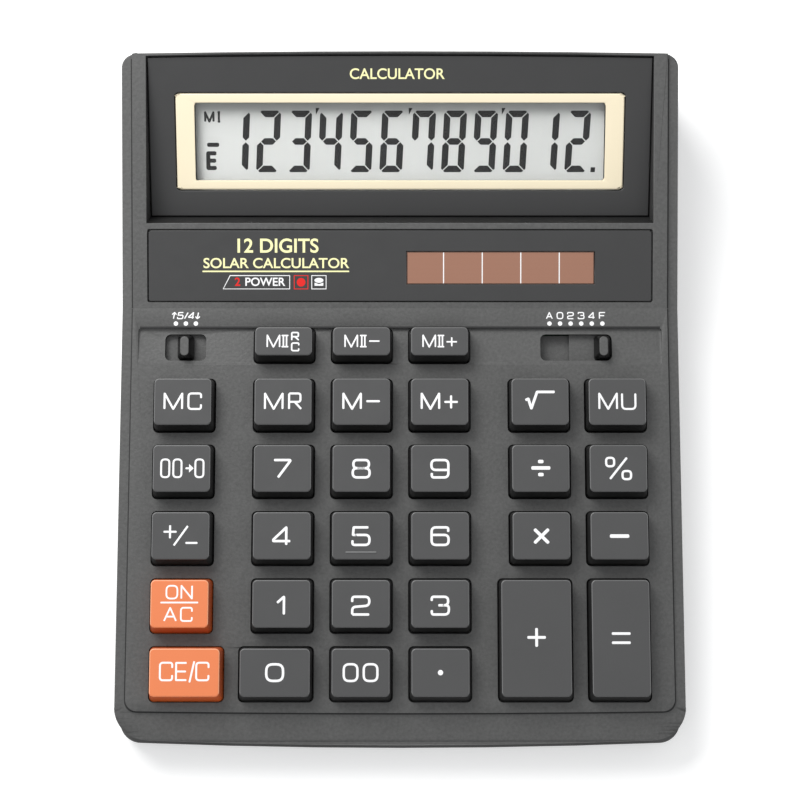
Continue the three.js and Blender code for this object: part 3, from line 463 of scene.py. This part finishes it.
def inkLines(lines, stroke):
    # flat lines of one width with blunt round ends, as a bmesh; lines are (points, closed)
    curve = bpy.data.curves.new("inkLines", "CURVE")
    curve.dimensions = "3D"
    curve.bevel_depth = stroke / 2
    curve.bevel_resolution = 2
    curve.use_fill_caps = True
    for points, closed in lines:
        points = [p for i, p in enumerate(points) if i == 0 or (p - points[i - 1]).length > 1e-4]
        radii = [1.0] * len(points)
        if not closed:
            blunt = min(0.3 * stroke, 0.4 * (points[1] - points[0]).length, 0.4 * (points[-2] - points[-1]).length)
            points.insert(1, points[0] + (points[1] - points[0]).normalized() * blunt)
            points.insert(-1, points[-1] + (points[-2] - points[-1]).normalized() * blunt)
            radii = [0.6] + [1.0] * len(radii) + [0.6]
        spline = curve.splines.new("POLY")
        spline.points.add(len(points) - 1)
        for target, point, radius in zip(spline.points, points, radii):
            target.co = (point.x, point.y, 0, 1)
            target.radius = radius
        spline.use_cyclic_u = closed
    holder = bpy.data.objects.new("inkLines", curve)
    mesh = bpy.data.meshes.new_from_object(holder)
    bm = bmesh.new()
    bm.from_mesh(mesh)
    bpy.data.objects.remove(holder)
    bpy.data.curves.remove(curve)
    bpy.data.meshes.remove(mesh)
    bmesh.ops.scale(bm, vec=(1, 1, 2 * inkRise / stroke), verts=bm.verts)
    return bm


def glyphLines(letter, centreX, centreY, width, height, stroke, lean=0.0):
    # a glyph's lines with the outside of its strokes on the given size
    w, h = max(width - stroke, 0), max(height - stroke, 0)
    lines = []
    for radius, closed, points in glyphs[letter]:
        placed = [Vector((centreX + (x - 0.5) * w + (y - 0.5) * h * lean, centreY + (y - 0.5) * h))
                  for x, y in points]
        lines.append((roundedPath(placed, radius * min(max(w, 0.5 * h), h), closed), closed))
    return lines


def moveUp(bm, x, y, z):
    bmesh.ops.translate(bm, vec=(x, y, z), verts=bm.verts)
    return bm


# Painted shade: thin dark strips standing in for the shadow lines at the foot of the deck's step, along the upper
# panel and behind the slide switches.

shadeStripForm = {
    "halfWidth": 76.5, "corner": 3.5, "stroke": 0.5, "drop": 0.88, "bow": 0.5,
    "keyRise": 4.8,  # the keys' faces above the deck
    "ahead": 1.2,  # the deck starts this far ahead of the circuit board
    "deckLength": 113.9,
    "upperStart": 2.0,  # ahead of the solar panel's plate
    "upperEnd": 69.0,
    "recessHalf": 74.2,
    "recessBack": 0.6,  # ahead of the back of the slim keys' flanges
}
form = shadeStripForm
keyHigh = localBox("key_mc", "deck")[1]
boardLow = localBox("circuit_board", "deck")[0]
deckFace = keyHigh.z - form["keyRise"]
deckStart = boardLow.y - form["ahead"]
deckEnd = deckStart + 0.2 + form["deckLength"]
x, start = form["halfWidth"], deckStart + form["bow"]
front = [Vector((x * t, start - form["bow"] * (1 - t * t))) for t in (1, 0.75, 0.5, 0.25, 0, -0.25, -0.5, -0.75, -1)]
outline = [Vector((x, deckEnd))] + front + [Vector((-x, deckEnd))]
bm = inkLines([(roundedPath(outline, form["corner"], False), False)], form["stroke"])
moveUp(bm, 0, 0, deckFace - form["drop"])
finishPiece(bm, "deckShadeStrip", "case", [paintedShadeStrip], "deck")
panelLow, panelHigh = localBox("solar_plate", "upper")
bm = inkLines([([Vector((side * x, panelLow.y - form["upperStart"])),
                 Vector((side * x, panelLow.y + form["upperEnd"]))], False) for side in (-1, 1)], form["stroke"])
moveUp(bm, 0, 0, panelHigh.z - form["drop"])
finishPiece(bm, "upperShadeStrip", "case", [paintedShadeStrip], "upper")
slimHigh = localBox("key_mii_plus", "deck")[1]
bm = inkLines([([Vector((-form["recessHalf"], 0)), Vector((form["recessHalf"], 0))], False)], form["stroke"])
moveUp(bm, 0, slimHigh.y - form["recessBack"], deckFace)
finishPiece(bm, "recessShadeStrip", "case", [paintedShadeStrip], "deck")


# Keys: a flange under the deck, a straight shank, and a cap whose walls lean in to a flat face.

keyForm = {
    "rise": 4.8,  # the face above the deck
    "reach": 1.1,  # the flange beyond the shank
    "flange": 0.8,
    "sideLean": 0.6,
    "frontLean": 1.5,
    "backLean": 0.3,
    "corner": 1.25,
    "softEdge": 0.36,
    "wall": 1.3,
    "stem": 2.0,
}
digit = {"width": 5.4, "height": 5.55, "stroke": 0.68}
faceShift = (keyForm["frontLean"] - keyForm["backLean"]) / 2  # the face stands this far behind the hole's middle


def onDigit(name):
    width = 3.0 if name == "1" else digit["width"]
    return [(name, 0, -0.5 if name in "123" else -0.12, width, digit["height"])]


def memory(letter, x, width, y=0.1, height=4.95):
    return [("M", -2.6, 0.1, 5.5, 4.95), (letter, x, y, width, height)]


# Each legend: stroke, then glyphs as (name, x, y, width, height) from the middle of the key's face.
legends = {name: (digit["stroke"], onDigit(name)) for name in "123456789"}
legends.update({
    "0": (0.68, [("0", 0, 0, 5.3, 5.2)]),
    "00": (0.64, [("0", -2.75, 0, 4.4, 5.2), ("0", 2.75, 0, 4.4, 5.2)]),
    "point": (1.5, []),
    "plus": (0.78, [("plus", 0, 0.2, 5.9, 5.9)]),
    "equals": (0.72, [("bar", 0, 1.25, 5.9, 0.8), ("bar", 0, -1.25, 5.9, 0.8)]),
    "multiply": (0.9, [("cross", 0, -0.1, 4.9, 4.8)]),
    "minus": (1.0, [("bar", 0, -0.1, 6.4, 1)]),
    "divide": (0.98, [("bar", 0, 0.1, 6.3, 1), ("bar", 0, 1.9, 2.5, 1), ("bar", 0, -1.75, 2.5, 1)]),
    "percent": (0.62, [("0", -2.3, 1.75, 2.85, 3.0), ("0", 2.3, -1.9, 3.0, 2.9), ("slash", 0, 0, 5.4, 6.6)]),
    "sqrt": (0.74, [("root", 0, 0.4, 9.0, 5.4)]),
    "mc": (0.56, memory("C", 3.4, 4.1)),
    "mr": (0.56, memory("R", 3.4, 3.95)),
    "m_minus": (0.6, memory("bar", 3.3, 4.4)),
    "m_plus": (0.6, memory("plus", 3.2, 4.4, -0.1, 4.3)),
    "mu": (0.56, memory("U", 3.2, 4.3)),
    "mii_rc": (0.42, [("M", -2.85, 0, 3.9, 3.8), ("II", 0.4, 0, 2.35, 3.6),
                     ("R", 3.3, 1.35, 2.4, 2.6), ("C", 3.3, -1.65, 2.4, 2.6)]),
    "mii_minus": (0.42, [("M", -2.9, 0, 3.9, 3.8), ("II", 0.5, 0, 2.3, 3.6), ("bar", 3.6, 0, 3.4, 0.5)]),
    "mii_plus": (0.42, [("M", -2.9, 0, 3.9, 3.8), ("II", 0.4, 0, 2.3, 3.6), ("plus", 3.45, -0.2, 3.4, 3.0)]),
    "shift": (0.52, [("0", -4.55, 0, 2.8, 5.5), ("0", -1.15, 0, 2.8, 5.5), ("bar", 1.8, 0, 1.9, 0.7),
                     ("0", 5.0, 0, 2.8, 5.5)]),
    "sign": (0.56, [("plus", -2.9, 1.1, 4.2, 4.2), ("slash", 0.1, 0, 4.4, 6.0), ("bar", 3.1, -2.0, 3.9, 0.6)]),
    "on_ac": (0.46, [("0", -2.1, 3.2, 3.5, 4.0), ("N", 2.0, 3.2, 3.4, 4.0), ("bar", 0, 0.35, 10.9, 0.5),
                     ("A", -2.5, -2.9, 3.8, 4.1), ("C", 2.0, -2.9, 3.5, 4.1)]),
    "ce_c": (0.52, [("C", -5.0, 0.3, 3.9, 5.3), ("E", -0.8, 0.3, 3.4, 5.2), ("slash", 2.1, 0.2, 1.8, 6.3),
                    ("C", 5.0, 0.3, 3.9, 5.3)]),
})
orangeKeys = ("ce_c", "on_ac")


def keyCap(name):
    low, high = localBox("key_" + name, "deck")
    form = keyForm
    left, right = low.x + form["reach"], high.x - form["reach"]
    front, back = low.y + form["reach"], high.y - form["reach"]
    deckTop = high.z - form["rise"]
    bm = bmesh.new()
    cubeBetween(bm, low, (high.x, high.y, low.z + form["flange"]))
    face = insetTo(bm, facing(bm, (0, 0, 1)), (left, front), (right, back))
    face = pullOut(bm, face, deckTop - low.z - form["flange"])
    scale = (1 - 2 * form["sideLean"] / (right - left), 1 - (form["frontLean"] + form["backLean"]) / (back - front))
    face = pullOut(bm, face, form["rise"], scale, faceShift)
    roundEdges(bm, upEdges(bm, low.z + form["flange"], high.z), form["corner"], 6)
    face = facing(bm, (0, 0, 1))
    roundEdges(bm, list(face.edges), form["softEdge"], 4)
    bm.normal_update()
    for face in bm.faces:  # painted shade and highlight: the walls take a second, darker colour as painted shade, and the soft edges that don't face the front a third, lighter one as painted highlight
        highlit = face.normal.z < 0.97 and face.normal.y > -0.25
        face.material_index = 1 if face.normal.z < 0.5 else 2 if highlit else 0
    # hollow below, with a stem down the middle
    middle = ((left + right) / 2, (front + back) / 2)
    wall = form["wall"] + form["sideLean"]
    inner = insetTo(bm, facing(bm, (0, 0, -1)), (left + wall, front + form["frontLean"] + form["wall"]),
                    (right - wall, back - form["backLean"] - form["wall"]))
    inner = pullOut(bm, inner, high.z - form["wall"] - low.z)
    half = form["stem"]
    stem = insetTo(bm, inner, (middle[0] - half, middle[1] - half), (middle[0] + half, middle[1] + half))
    pullOut(bm, stem, low.z - high.z + form["wall"])
    finish = [keyGrey, paintedShadeWallGrey, paintedHighlightGrey]
    if name in orangeKeys:
        finish = [keyOrange, paintedShadeWallOrange, paintedHighlightOrange]
    body = "key_" + name + "_body"
    finishPiece(bm, "keyCap_" + name, body, finish, "deck", ["key_" + name], sharpAngle=50)
    return Vector((middle[0], middle[1] + faceShift, high.z)), body


def arrowHead(bm, x, y, width, height):
    # a flat triangle pointing right
    cone = bmesh.ops.create_cone(bm, cap_ends=True, segments=3, radius1=1, radius2=0.94, depth=2 * inkRise)["verts"]
    bmesh.ops.rotate(bm, cent=(0, 0, 0), matrix=Matrix.Rotation(math.radians(-90), 3, "Z"), verts=cone)
    bmesh.ops.scale(bm, vec=(width / 1.5, height / 1.732, 1), verts=cone)
    bmesh.ops.translate(bm, vec=(x - width / 6, y, 0), verts=cone)


fingerBar = {"halfWidth": 4.3, "stroke": 0.55, "stretch": 12, "ahead": 4.6}
for name, (stroke, parts) in legends.items():
    place, body = keyCap(name)
    lines = []
    for letter, x, y, width, height in parts:
        lines += glyphLines(letter, x, y, width, height, stroke)
    bm = inkLines(lines, stroke) if lines else bmesh.new()
    if name == "shift":
        arrowHead(bm, 2.75, 0, 1.3, 2.5)
    if name == "point":
        bmesh.ops.create_cone(bm, cap_ends=True, segments=24, radius1=stroke / 2, radius2=stroke / 2 - 0.02,
                              depth=2 * inkRise)
    moveUp(bm, *place)
    finishPiece(bm, "legend_" + name, body, [legendWhite], "deck")
    if name == "5":  # the raised bar that a finger finds without looking
        reach = fingerBar["halfWidth"]
        bm = inkLines([([Vector((-reach, 0)), Vector((reach, 0))], False)], fingerBar["stroke"])
        bmesh.ops.scale(bm, vec=(1, 1, fingerBar["stretch"]), verts=bm.verts)
        moveUp(bm, place.x, place.y - fingerBar["ahead"], place.z)
        # the bar takes the keys' lighter edge grey, a painted highlight
        finishPiece(bm, "fingerBar", body, [paintedHighlightGrey], "deck")
print("keys done:", len(legends))


# Slide switches: a plate under the deck and a finger piece that leans in to a narrow top.

knobForm = {"width": 4.6, "depth": 7.1, "rise": 2.6, "plate": 1.0, "topWidth": 0.5, "topDepth": 0.76}


def slideKnob(node, body):
    low, high = localBox(node, "deck")
    form = knobForm
    middle = (low + high) / 2
    deckTop = high.z - form["rise"]
    bm = bmesh.new()
    cubeBetween(bm, low, (high.x, high.y, low.z + form["plate"]))
    half = Vector((form["width"] / 2, form["depth"] / 2, 0))
    face = insetTo(bm, facing(bm, (0, 0, 1)), middle - half, middle + half)
    face = pullOut(bm, face, deckTop - 0.6 - low.z - form["plate"])
    face = pullOut(bm, face, form["rise"] + 0.6, (form["topWidth"], form["topDepth"]))
    posts = upEdges(bm, low.z + form["plate"], high.z)
    roundEdges(bm, posts, 1.1, 6)
    roundEdges(bm, list(facing(bm, (0, 0, 1)).edges), 0.3, 3)
    bm.normal_update()
    # painted shade: the finger piece's raised walls take the keys' near-black wall colour
    for face in bm.faces:
        raised = face.calc_center_median().z > low.z + form["plate"] + 0.01
        face.material_index = 1 if raised and face.normal.z < 0.5 else 0
    finishPiece(bm, node + "Piece", body, [caseGrey, paintedShadeWallGrey], "deck", [node], sharpAngle=50)
    return middle.x, middle.y, deckTop


slideKnob("rounding_knob", "rounding_slider")
knobX, knobY, deckTop = slideKnob("decimal_knob", "decimal_slider")

scaleForm = {"letter": 2.1, "width": 1.95, "stroke": 0.32, "dot": 1.3, "dotBehind": 6.85, "letterBehind": 9.15}


def scaleMarks(name, centres, spread, lean):
    # a dot for each stop and the row of signs behind them, printed on the deck
    bm = bmesh.new()
    for x in centres:
        made = bmesh.ops.create_cone(bm, cap_ends=True, segments=20, radius1=scaleForm["dot"] / 2,
                                     radius2=scaleForm["dot"] / 2 - 0.02, depth=2 * inkRise)["verts"]
        bmesh.ops.translate(bm, vec=(x, knobY + scaleForm["dotBehind"], deckTop), verts=made)
    finishPiece(bm, name + "Dots", "case", [legendWhite], "deck")
    lines = []
    for letter, x, width in spread:
        lines += glyphLines(letter, x, 0, width, scaleForm["letter"], scaleForm["stroke"], lean)
    bm = moveUp(inkLines(lines, scaleForm["stroke"]), 0, knobY + scaleForm["letterBehind"], deckTop)
    finishPiece(bm, name + "Signs", "case", [legendWhite], "deck")


decimalStops = [knobX - 3.02 * (5 - i) for i in range(6)]
decimalSigns = [(letter, x, scaleForm["width"]) for letter, x in zip("A0234F", decimalStops)]
scaleMarks("decimalScale", decimalStops, decimalSigns, 0)
roundingX = localBox("rounding_knob", "deck")
roundingX = (roundingX[0].x + roundingX[1].x) / 2
roundingSigns = [("up", roundingX - 3.4, 1.9), ("5", roundingX - 1.55, 1.8), ("slash", roundingX + 0.1, 1.0),
                 ("4", roundingX + 1.6, 1.8), ("down", roundingX + 3.4, 1.9)]
scaleMarks("roundingScale", [roundingX - 2.85, roundingX, roundingX + 2.85], roundingSigns, 0.18)
print("switches done")


# Display: dark plate, cream border, lens, glass and its figures.

def upperEdges(width):
    def widthOf(middle, normals):
        return width if max(n.z for n in normals) > 0.8 else 0
    return widthOf


lensLow, lensHigh = localBox("display_lens", "display")
windowMiddle = (lensLow.y + lensHigh.y) / 2
for node, slope, slotName, finish, edge, name in (
    ("display_plate", "display", "panel_dark", panelDark, 0.3, "displayPlate"),
    ("lens_border", "display", "border_cream", borderCream, 0.4, "lensBorder"),
    ("solar_plate", "upper", "panel_dark", panelDark, 0.22, "solarPlate"),
):
    bm = cadCopy(node, slope)
    weighEdges(bm, edge, upperEdges(edge))
    for face in bm.faces:  # painted shade: the border's inner walls take a near black
        middle = face.calc_center_median()
        inner = node == "lens_border" and abs(face.normal.z) < 0.3 and abs(middle.x) < 60
        face.material_index = 1 if inner and abs(middle.y - windowMiddle) < 11.6 else 0
    finishPiece(bm, name, "case", [finish, paintedShadeBlack], slope, [node], bevel={"width": edge, "segments": 3})

figures = {
    "width": 6.6, "height": 17.6, "bar": 1.88, "gap": 0.2, "cut": 0.8,
    "pitch": 8.93, "firstRight": -43.15, "lean": math.tan(math.radians(3)),
    "text": "123456789012", "thousands": (3, 6, 9),
}
segmentsOf = {
    "0": "abcdef", "1": "bc", "2": "abdeg", "3": "abcdg", "4": "bcfg", "5": "acdfg",
    "6": "acdefg", "7": "abcf", "8": "abcdefg", "9": "abcdfg",
}


def segmentShapes(form):
    # the outline of each bar of a figure, from its lower left corner
    w, h, t, g, c = (form[key] for key in ("width", "height", "bar", "gap", "cut"))
    top = [(c + g, h), (w - c - g, h), (w - c / 2 - g, h - c / 2), (w - t - g, h - t), (t + g, h - t),
           (c / 2 + g, h - c / 2)]
    right = [(w - c / 2, h - c / 2 - g), (w, h - c - g), (w, h / 2 + t / 2 + g), (w - t / 2, h / 2 + g),
             (w - t, h / 2 + t / 2 + g), (w - t, h - t - g)]
    centre = [(t / 2 + g, h / 2), (t + g, h / 2 + t / 2), (w - t - g, h / 2 + t / 2), (w - t / 2 - g, h / 2),
              (w - t - g, h / 2 - t / 2), (t + g, h / 2 - t / 2)]

    def flipped(points, acrossX, acrossY):
        return [((w - x) if acrossX else x, (h - y) if acrossY else y) for x, y in points]

    return {"a": top, "b": right, "c": flipped(right, False, True), "d": flipped(top, False, True),
            "e": flipped(right, True, True), "f": flipped(right, True, False), "g": centre}


def addFlat(bm, points):
    # a thin flat plate on this outline
    face = bm.faces.new([bm.verts.new((x, y, 0)) for x, y in points])
    raised = bmesh.ops.extrude_face_region(bm, geom=[face])["geom"]
    top = [v for v in raised if isinstance(v, bmesh.types.BMVert)]
    bmesh.ops.translate(bm, vec=(0, 0, inkRise), verts=top)


glassLow, glassHigh = localBox("lcd_glass", "display")
glassMiddle = (glassLow + glassHigh) / 2
bm = bmesh.new()
shapes = segmentShapes(figures)
baseY = glassMiddle.y - figures["height"] / 2
for i, figure in enumerate(figures["text"]):
    left = figures["firstRight"] + i * figures["pitch"] - figures["width"] - figures["height"] * figures["lean"]
    for bar in segmentsOf[figure]:
        addFlat(bm, [(left + x + y * figures["lean"], baseY + y) for x, y in shapes[bar]])
    right = left + figures["width"] + figures["height"] * figures["lean"]
    if i + 1 in figures["thousands"]:
        top = baseY + figures["height"] + 0.75
        addFlat(bm, [(right + 1.0, top), (right + 2.1, top), (right + 1.05, top - 2.0)])
lastRight = figures["firstRight"] + 11 * figures["pitch"] - figures["height"] * figures["lean"]
addFlat(bm, [(lastRight + x, baseY + y) for x, y in ((1.0, 0), (2.3, 0), (2.4, 1.4), (1.1, 1.4))])
moveUp(bm, 0, 0, glassHigh.z)
finishPiece(bm, "lcdFigures", "case", [lcdInk], "display")

lines = glyphLines("M", -54.96, 7.0, 3.0, 3.3, 0.62) + glyphLines("I", -52.2, 7.0, 1.4, 3.3, 0.62)
bm = inkLines(lines, 0.62)
moveUp(bm, 0, glassMiddle.y, glassHigh.z)
finishPiece(bm, "lcdMemorySign", "case", [lcdInk], "display")
lines = glyphLines("bar", -54.0, -0.95, 4.7, 1.2, 1.2) + glyphLines("E", -54.3, -5.5, 3.6, 5.4, 1.2)
bm = inkLines(lines, 1.2)
moveUp(bm, 0, glassMiddle.y, glassHigh.z)
finishPiece(bm, "lcdErrorSign", "case", [lcdInk], "display")


def printed(name, words, size, place, slope, finish, bold=0.0, stretch=1.0, centred=True):
    # words in a plain sans type, as thin ink on a slope
    text = bpy.data.curves.new(name, "FONT")
    text.body = words
    text.size = size
    text.offset = bold
    text.extrude = inkRise
    text.align_x = "CENTER" if centred else "LEFT"
    text.align_y = "CENTER"
    holder = bpy.data.objects.new(name, text)
    mesh = bpy.data.meshes.new_from_object(holder)
    bm = bmesh.new()
    bm.from_mesh(mesh)
    bpy.data.objects.remove(holder)
    bpy.data.curves.remove(text)
    bpy.data.meshes.remove(mesh)
    bmesh.ops.scale(bm, vec=(stretch, 1, 1), verts=bm.verts)
    moveUp(bm, *place)
    return finishPiece(bm, name, "case", [finish], slope)


plateHigh = localBox("display_plate", "display")[1]
printed("plateWord", "CALCULATOR", 4.2, (-0.9, plateHigh.y - 5.3, plateHigh.z), "display", printYellow,
        bold=0.05)

panelLow, panelHigh = localBox("solar_plate", "upper")
panelStart = panelLow.y - 2.0  # the crease
panelTop = panelHigh.z
printed("panelTitle", "12 DIGITS", 5.6, (-35.3, panelStart + 17.6, panelTop), "upper", printYellow,
        bold=0.09)
printed("panelKind", "SOLAR CALCULATOR", 4.05, (-35.4, panelStart + 12.7, panelTop), "upper", printYellow,
        bold=0.05, stretch=1.05)
bm = inkLines([([Vector((-56.4, 0)), Vector((-14.5, 0))], False)], 0.42)
moveUp(bm, 0, panelStart + 10.5, panelTop)
finishPiece(bm, "panelUnderline", "case", [printYellow], "upper")

boxY = panelStart + 7.4
frameLines = [([Vector(p) for p in ((-50.5, -1.9), (-31.5, -1.9), (-31.5, 1.9), (-48.5, 1.9))], True),
              ([Vector(p) for p in ((-25.2, -1.9), (-21.1, -1.9), (-21.1, 1.9), (-25.2, 1.9))], True)]
bm = moveUp(inkLines(frameLines, 0.3), 0, boxY, panelTop)
finishPiece(bm, "panelFrames", "case", [legendWhite], "upper")
redLines = [([Vector(p) for p in ((-30.2, -1.9), (-26.3, -1.9), (-26.3, 1.9), (-30.2, 1.9))], True)]
bm = inkLines(redLines, 0.32)
made = bmesh.ops.create_cone(bm, cap_ends=True, segments=16, radius1=1.25, radius2=1.23, depth=2 * inkRise)["verts"]
bmesh.ops.translate(bm, vec=(-28.25, 0, 0), verts=made)
moveUp(bm, 0, boxY, panelTop)
finishPiece(bm, "panelSun", "case", [printRed], "upper")
printed("panelTwo", "2", 3.3, (-46.4, boxY, panelTop), "upper", printRed, bold=0.06)
printed("panelPower", "POWER", 3.3, (-38.6, boxY, panelTop), "upper", legendWhite, bold=0.05)
bm = bmesh.new()
made = bmesh.ops.create_cone(bm, cap_ends=True, segments=18, radius1=1.3, radius2=1.28, depth=2 * inkRise)["verts"]
bmesh.ops.scale(bm, vec=(1, 0.55, 1), verts=made)
bmesh.ops.translate(bm, vec=(-23.15, 0.55, 0), verts=made)
addFlat(bm, [(-24.4, -1.0), (-21.9, -1.0), (-21.9, -0.1), (-23.15, -0.55), (-24.4, -0.1)])
moveUp(bm, 0, boxY, panelTop)
finishPiece(bm, "panelCell", "case", [legendWhite], "upper")

cellLow, cellHigh = localBox("solar_cell", "upper")
cellMiddle = (cellLow + cellHigh) / 2
dividers = [([Vector((cellMiddle.x + x, -4.4)), Vector((cellMiddle.x + x, 4.4))], False)
            for x in (-16.25, -5.2, 5.8, 16.8)]
bm = moveUp(inkLines(dividers, 0.3), 0, cellMiddle.y, cellHigh.z)
finishPiece(bm, "cellDividers", "case", [legendWhite], "upper")
print("display and panel done")


# Underside: door, feet and screws.

def lowerEdges(width):
    def widthOf(middle, normals):
        return width if min(n.z for n in normals) < -0.8 else 0
    return widthOf


bm = cadCopy("battery_door")
weighEdges(bm, 0.25, lowerEdges(0.25))
finishPiece(bm, "batteryDoor", "door", [bandGrey], nodes=["battery_door"],
            bevel={"width": 0.25, "segments": 3})

for end in ("front", "rear"):
    for side in ("left", "right"):
        node = "foot_" + end + "_" + side
        low, high = localBox(node, "level")
        middle = (low + high) / 2
        radius = (high.x - low.x) / 2
        bm = bmesh.new()
        bmesh.ops.create_cone(bm, cap_ends=True, segments=40, radius1=radius, radius2=radius, depth=high.z - low.z)
        face = facing(bm, (0, 0, -1))
        bmesh.ops.inset_individual(bm, faces=[face], thickness=1.2)
        bmesh.ops.translate(bm, vec=(0, 0, 0.25), verts=face.verts)
        rim = [e for e in bm.edges if all(abs(v.co.z + (high.z - low.z) / 2) < 0.01 for v in e.verts)
               and all(v.co.xy.length > radius - 0.1 for v in e.verts)]
        roundEdges(bm, rim, 0.3, 3)
        moveUp(bm, *middle)
        finishPiece(bm, "rubberFoot_" + end + "_" + side, "case", [footRubber], nodes=[node])

        node = "case_screw_" + end + "_" + side
        low, high = localBox(node, "level")
        middle = (low + high) / 2
        radius = (high.x - low.x) / 2
        bm = bmesh.new()
        bmesh.ops.create_cone(bm, cap_ends=True, segments=32, radius1=radius, radius2=radius, depth=1.5)
        face = facing(bm, (0, 0, 1))
        bmesh.ops.inset_individual(bm, faces=[face], thickness=radius - 1.2)
        pullOut(bm, face, high.z - low.z - 1.5)
        face = facing(bm, (0, 0, -1))
        roundEdges(bm, list(face.edges), 0.5, 4)
        moveUp(bm, middle.x, middle.y, low.z + 0.75)
        recess = bmesh.new()
        for turn in (0, 90):
            bar = cubeBetween(recess, (-1.5, -0.33, -1), (1.5, 0.33, 0.9))
            bmesh.ops.rotate(recess, cent=(0, 0, 0), matrix=Matrix.Rotation(math.radians(turn), 3, "Z"), verts=bar)
        cutter = bpy.data.meshes.new("driveCutter")
        recess.to_mesh(cutter)
        recess.free()
        cutter.transform(Matrix.Translation((middle.x * mm, middle.y * mm, low.z * mm)) @ Matrix.Scale(mm, 4))
        tool = bpy.data.objects.new("driveCutter", cutter)
        bpy.context.scene.collection.objects.link(tool)
        screw = finishPiece(bm, "caseScrew_" + end + "_" + side, "case", [darkSteel], nodes=[node])
        drive = screw.modifiers.new("drive", "BOOLEAN")
        drive.operation = "DIFFERENCE"
        drive.solver = "EXACT"
        drive.use_self = True
        drive.object = tool
        screw.modifiers.move(1, 0)
        bpy.context.view_layer.update()
        baked = bpy.data.meshes.new_from_object(screw.evaluated_get(bpy.context.evaluated_depsgraph_get()))
        screw.modifiers.clear()
        old = screw.data
        screw.data = baked
        bpy.data.meshes.remove(old)
        bpy.data.objects.remove(tool)
print("underside done")


# Pieces that keep their CAD shape get their finish.

for node, finish in {
    "display_lens": acrylic, "lcd_glass": lcdFace, "lcd_reflector": foil, "lcd_ribbon": ribbonFilm,
    "solar_cell": solarBrown, "circuit_board": boardGreen, "controller_blob": resinBlack,
    "rubber_keypad": keypadRubber, "button_cell": steel, "contact_minus": steel, "contact_plus": steel,
    "rounding_wiper": brass, "decimal_wiper": brass,
}.items():
    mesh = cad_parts[node].data
    mesh.materials.clear()
    mesh.materials.append(finish)


# Studio.

studio = {
    "cameraPlace": (0, -0.08307, 0.49129),
    "cameraTilt": 9.8,  # degrees from straight down
    "lens": 76.5,
    "skyStrength": 0.66,
    "floorSize": 6,
    "floorGlow": 0.3,
}

floorMesh = bmesh.new()
bmesh.ops.create_grid(floorMesh, x_segments=1, y_segments=1, size=studio["floorSize"] / 2)
mesh = bpy.data.meshes.new("floor")
floorMesh.to_mesh(mesh)
floorMesh.free()
floor = bpy.data.objects.new("floor", mesh)
pale = plastic("paleFloor", linear(242, 242, 241), 0.7, grain=2, depth=0.02, mottle=0.01, speckle=0.01)
pale.node_tree.nodes["Principled BSDF"].inputs["Emission Color"].default_value = (1, 1, 1, 1)
pale.node_tree.nodes["Principled BSDF"].inputs["Emission Strength"].default_value = studio["floorGlow"]
bpy.context.scene.collection.objects.link(floor)
mesh.materials.append(pale)

world = bpy.data.worlds.new("studioSky")
world.use_nodes = True
world.node_tree.nodes["Background"].inputs["Color"].default_value = (0.97, 0.98, 1, 1)
world.node_tree.nodes["Background"].inputs["Strength"].default_value = studio["skyStrength"]
bpy.context.scene.world = world


def softLamp(name, place, aim, size, power):
    lamp = bpy.data.lights.new(name, "AREA")
    lamp.shape = "RECTANGLE"
    lamp.size, lamp.size_y = size
    lamp.energy = power
    holder = bpy.data.objects.new(name, lamp)
    bpy.context.scene.collection.objects.link(holder)
    holder.location = place
    holder.rotation_euler = (Vector(aim) - Vector(place)).to_track_quat("-Z", "Y").to_euler()


softLamp("mainSoftbox", (-0.27, 0.4, 0.44), (-0.02, 0.05, 0), (0.42, 0.3), 3.7)
softLamp("fillSoftbox", (0.2, -1.1, 0.6), (0, 0, 0), (1.2, 0.5), 0.8)

cameraData = bpy.data.cameras.new("camera")
cameraData.lens = studio["lens"]
camera = bpy.data.objects.new("camera", cameraData)
bpy.context.scene.collection.objects.link(camera)
camera.location = studio["cameraPlace"]
camera.rotation_euler = (math.radians(studio["cameraTilt"]), 0, 0)
bpy.context.scene.camera = camera
bpy.context.scene.view_settings.view_transform = "Standard"
print("studio ready")
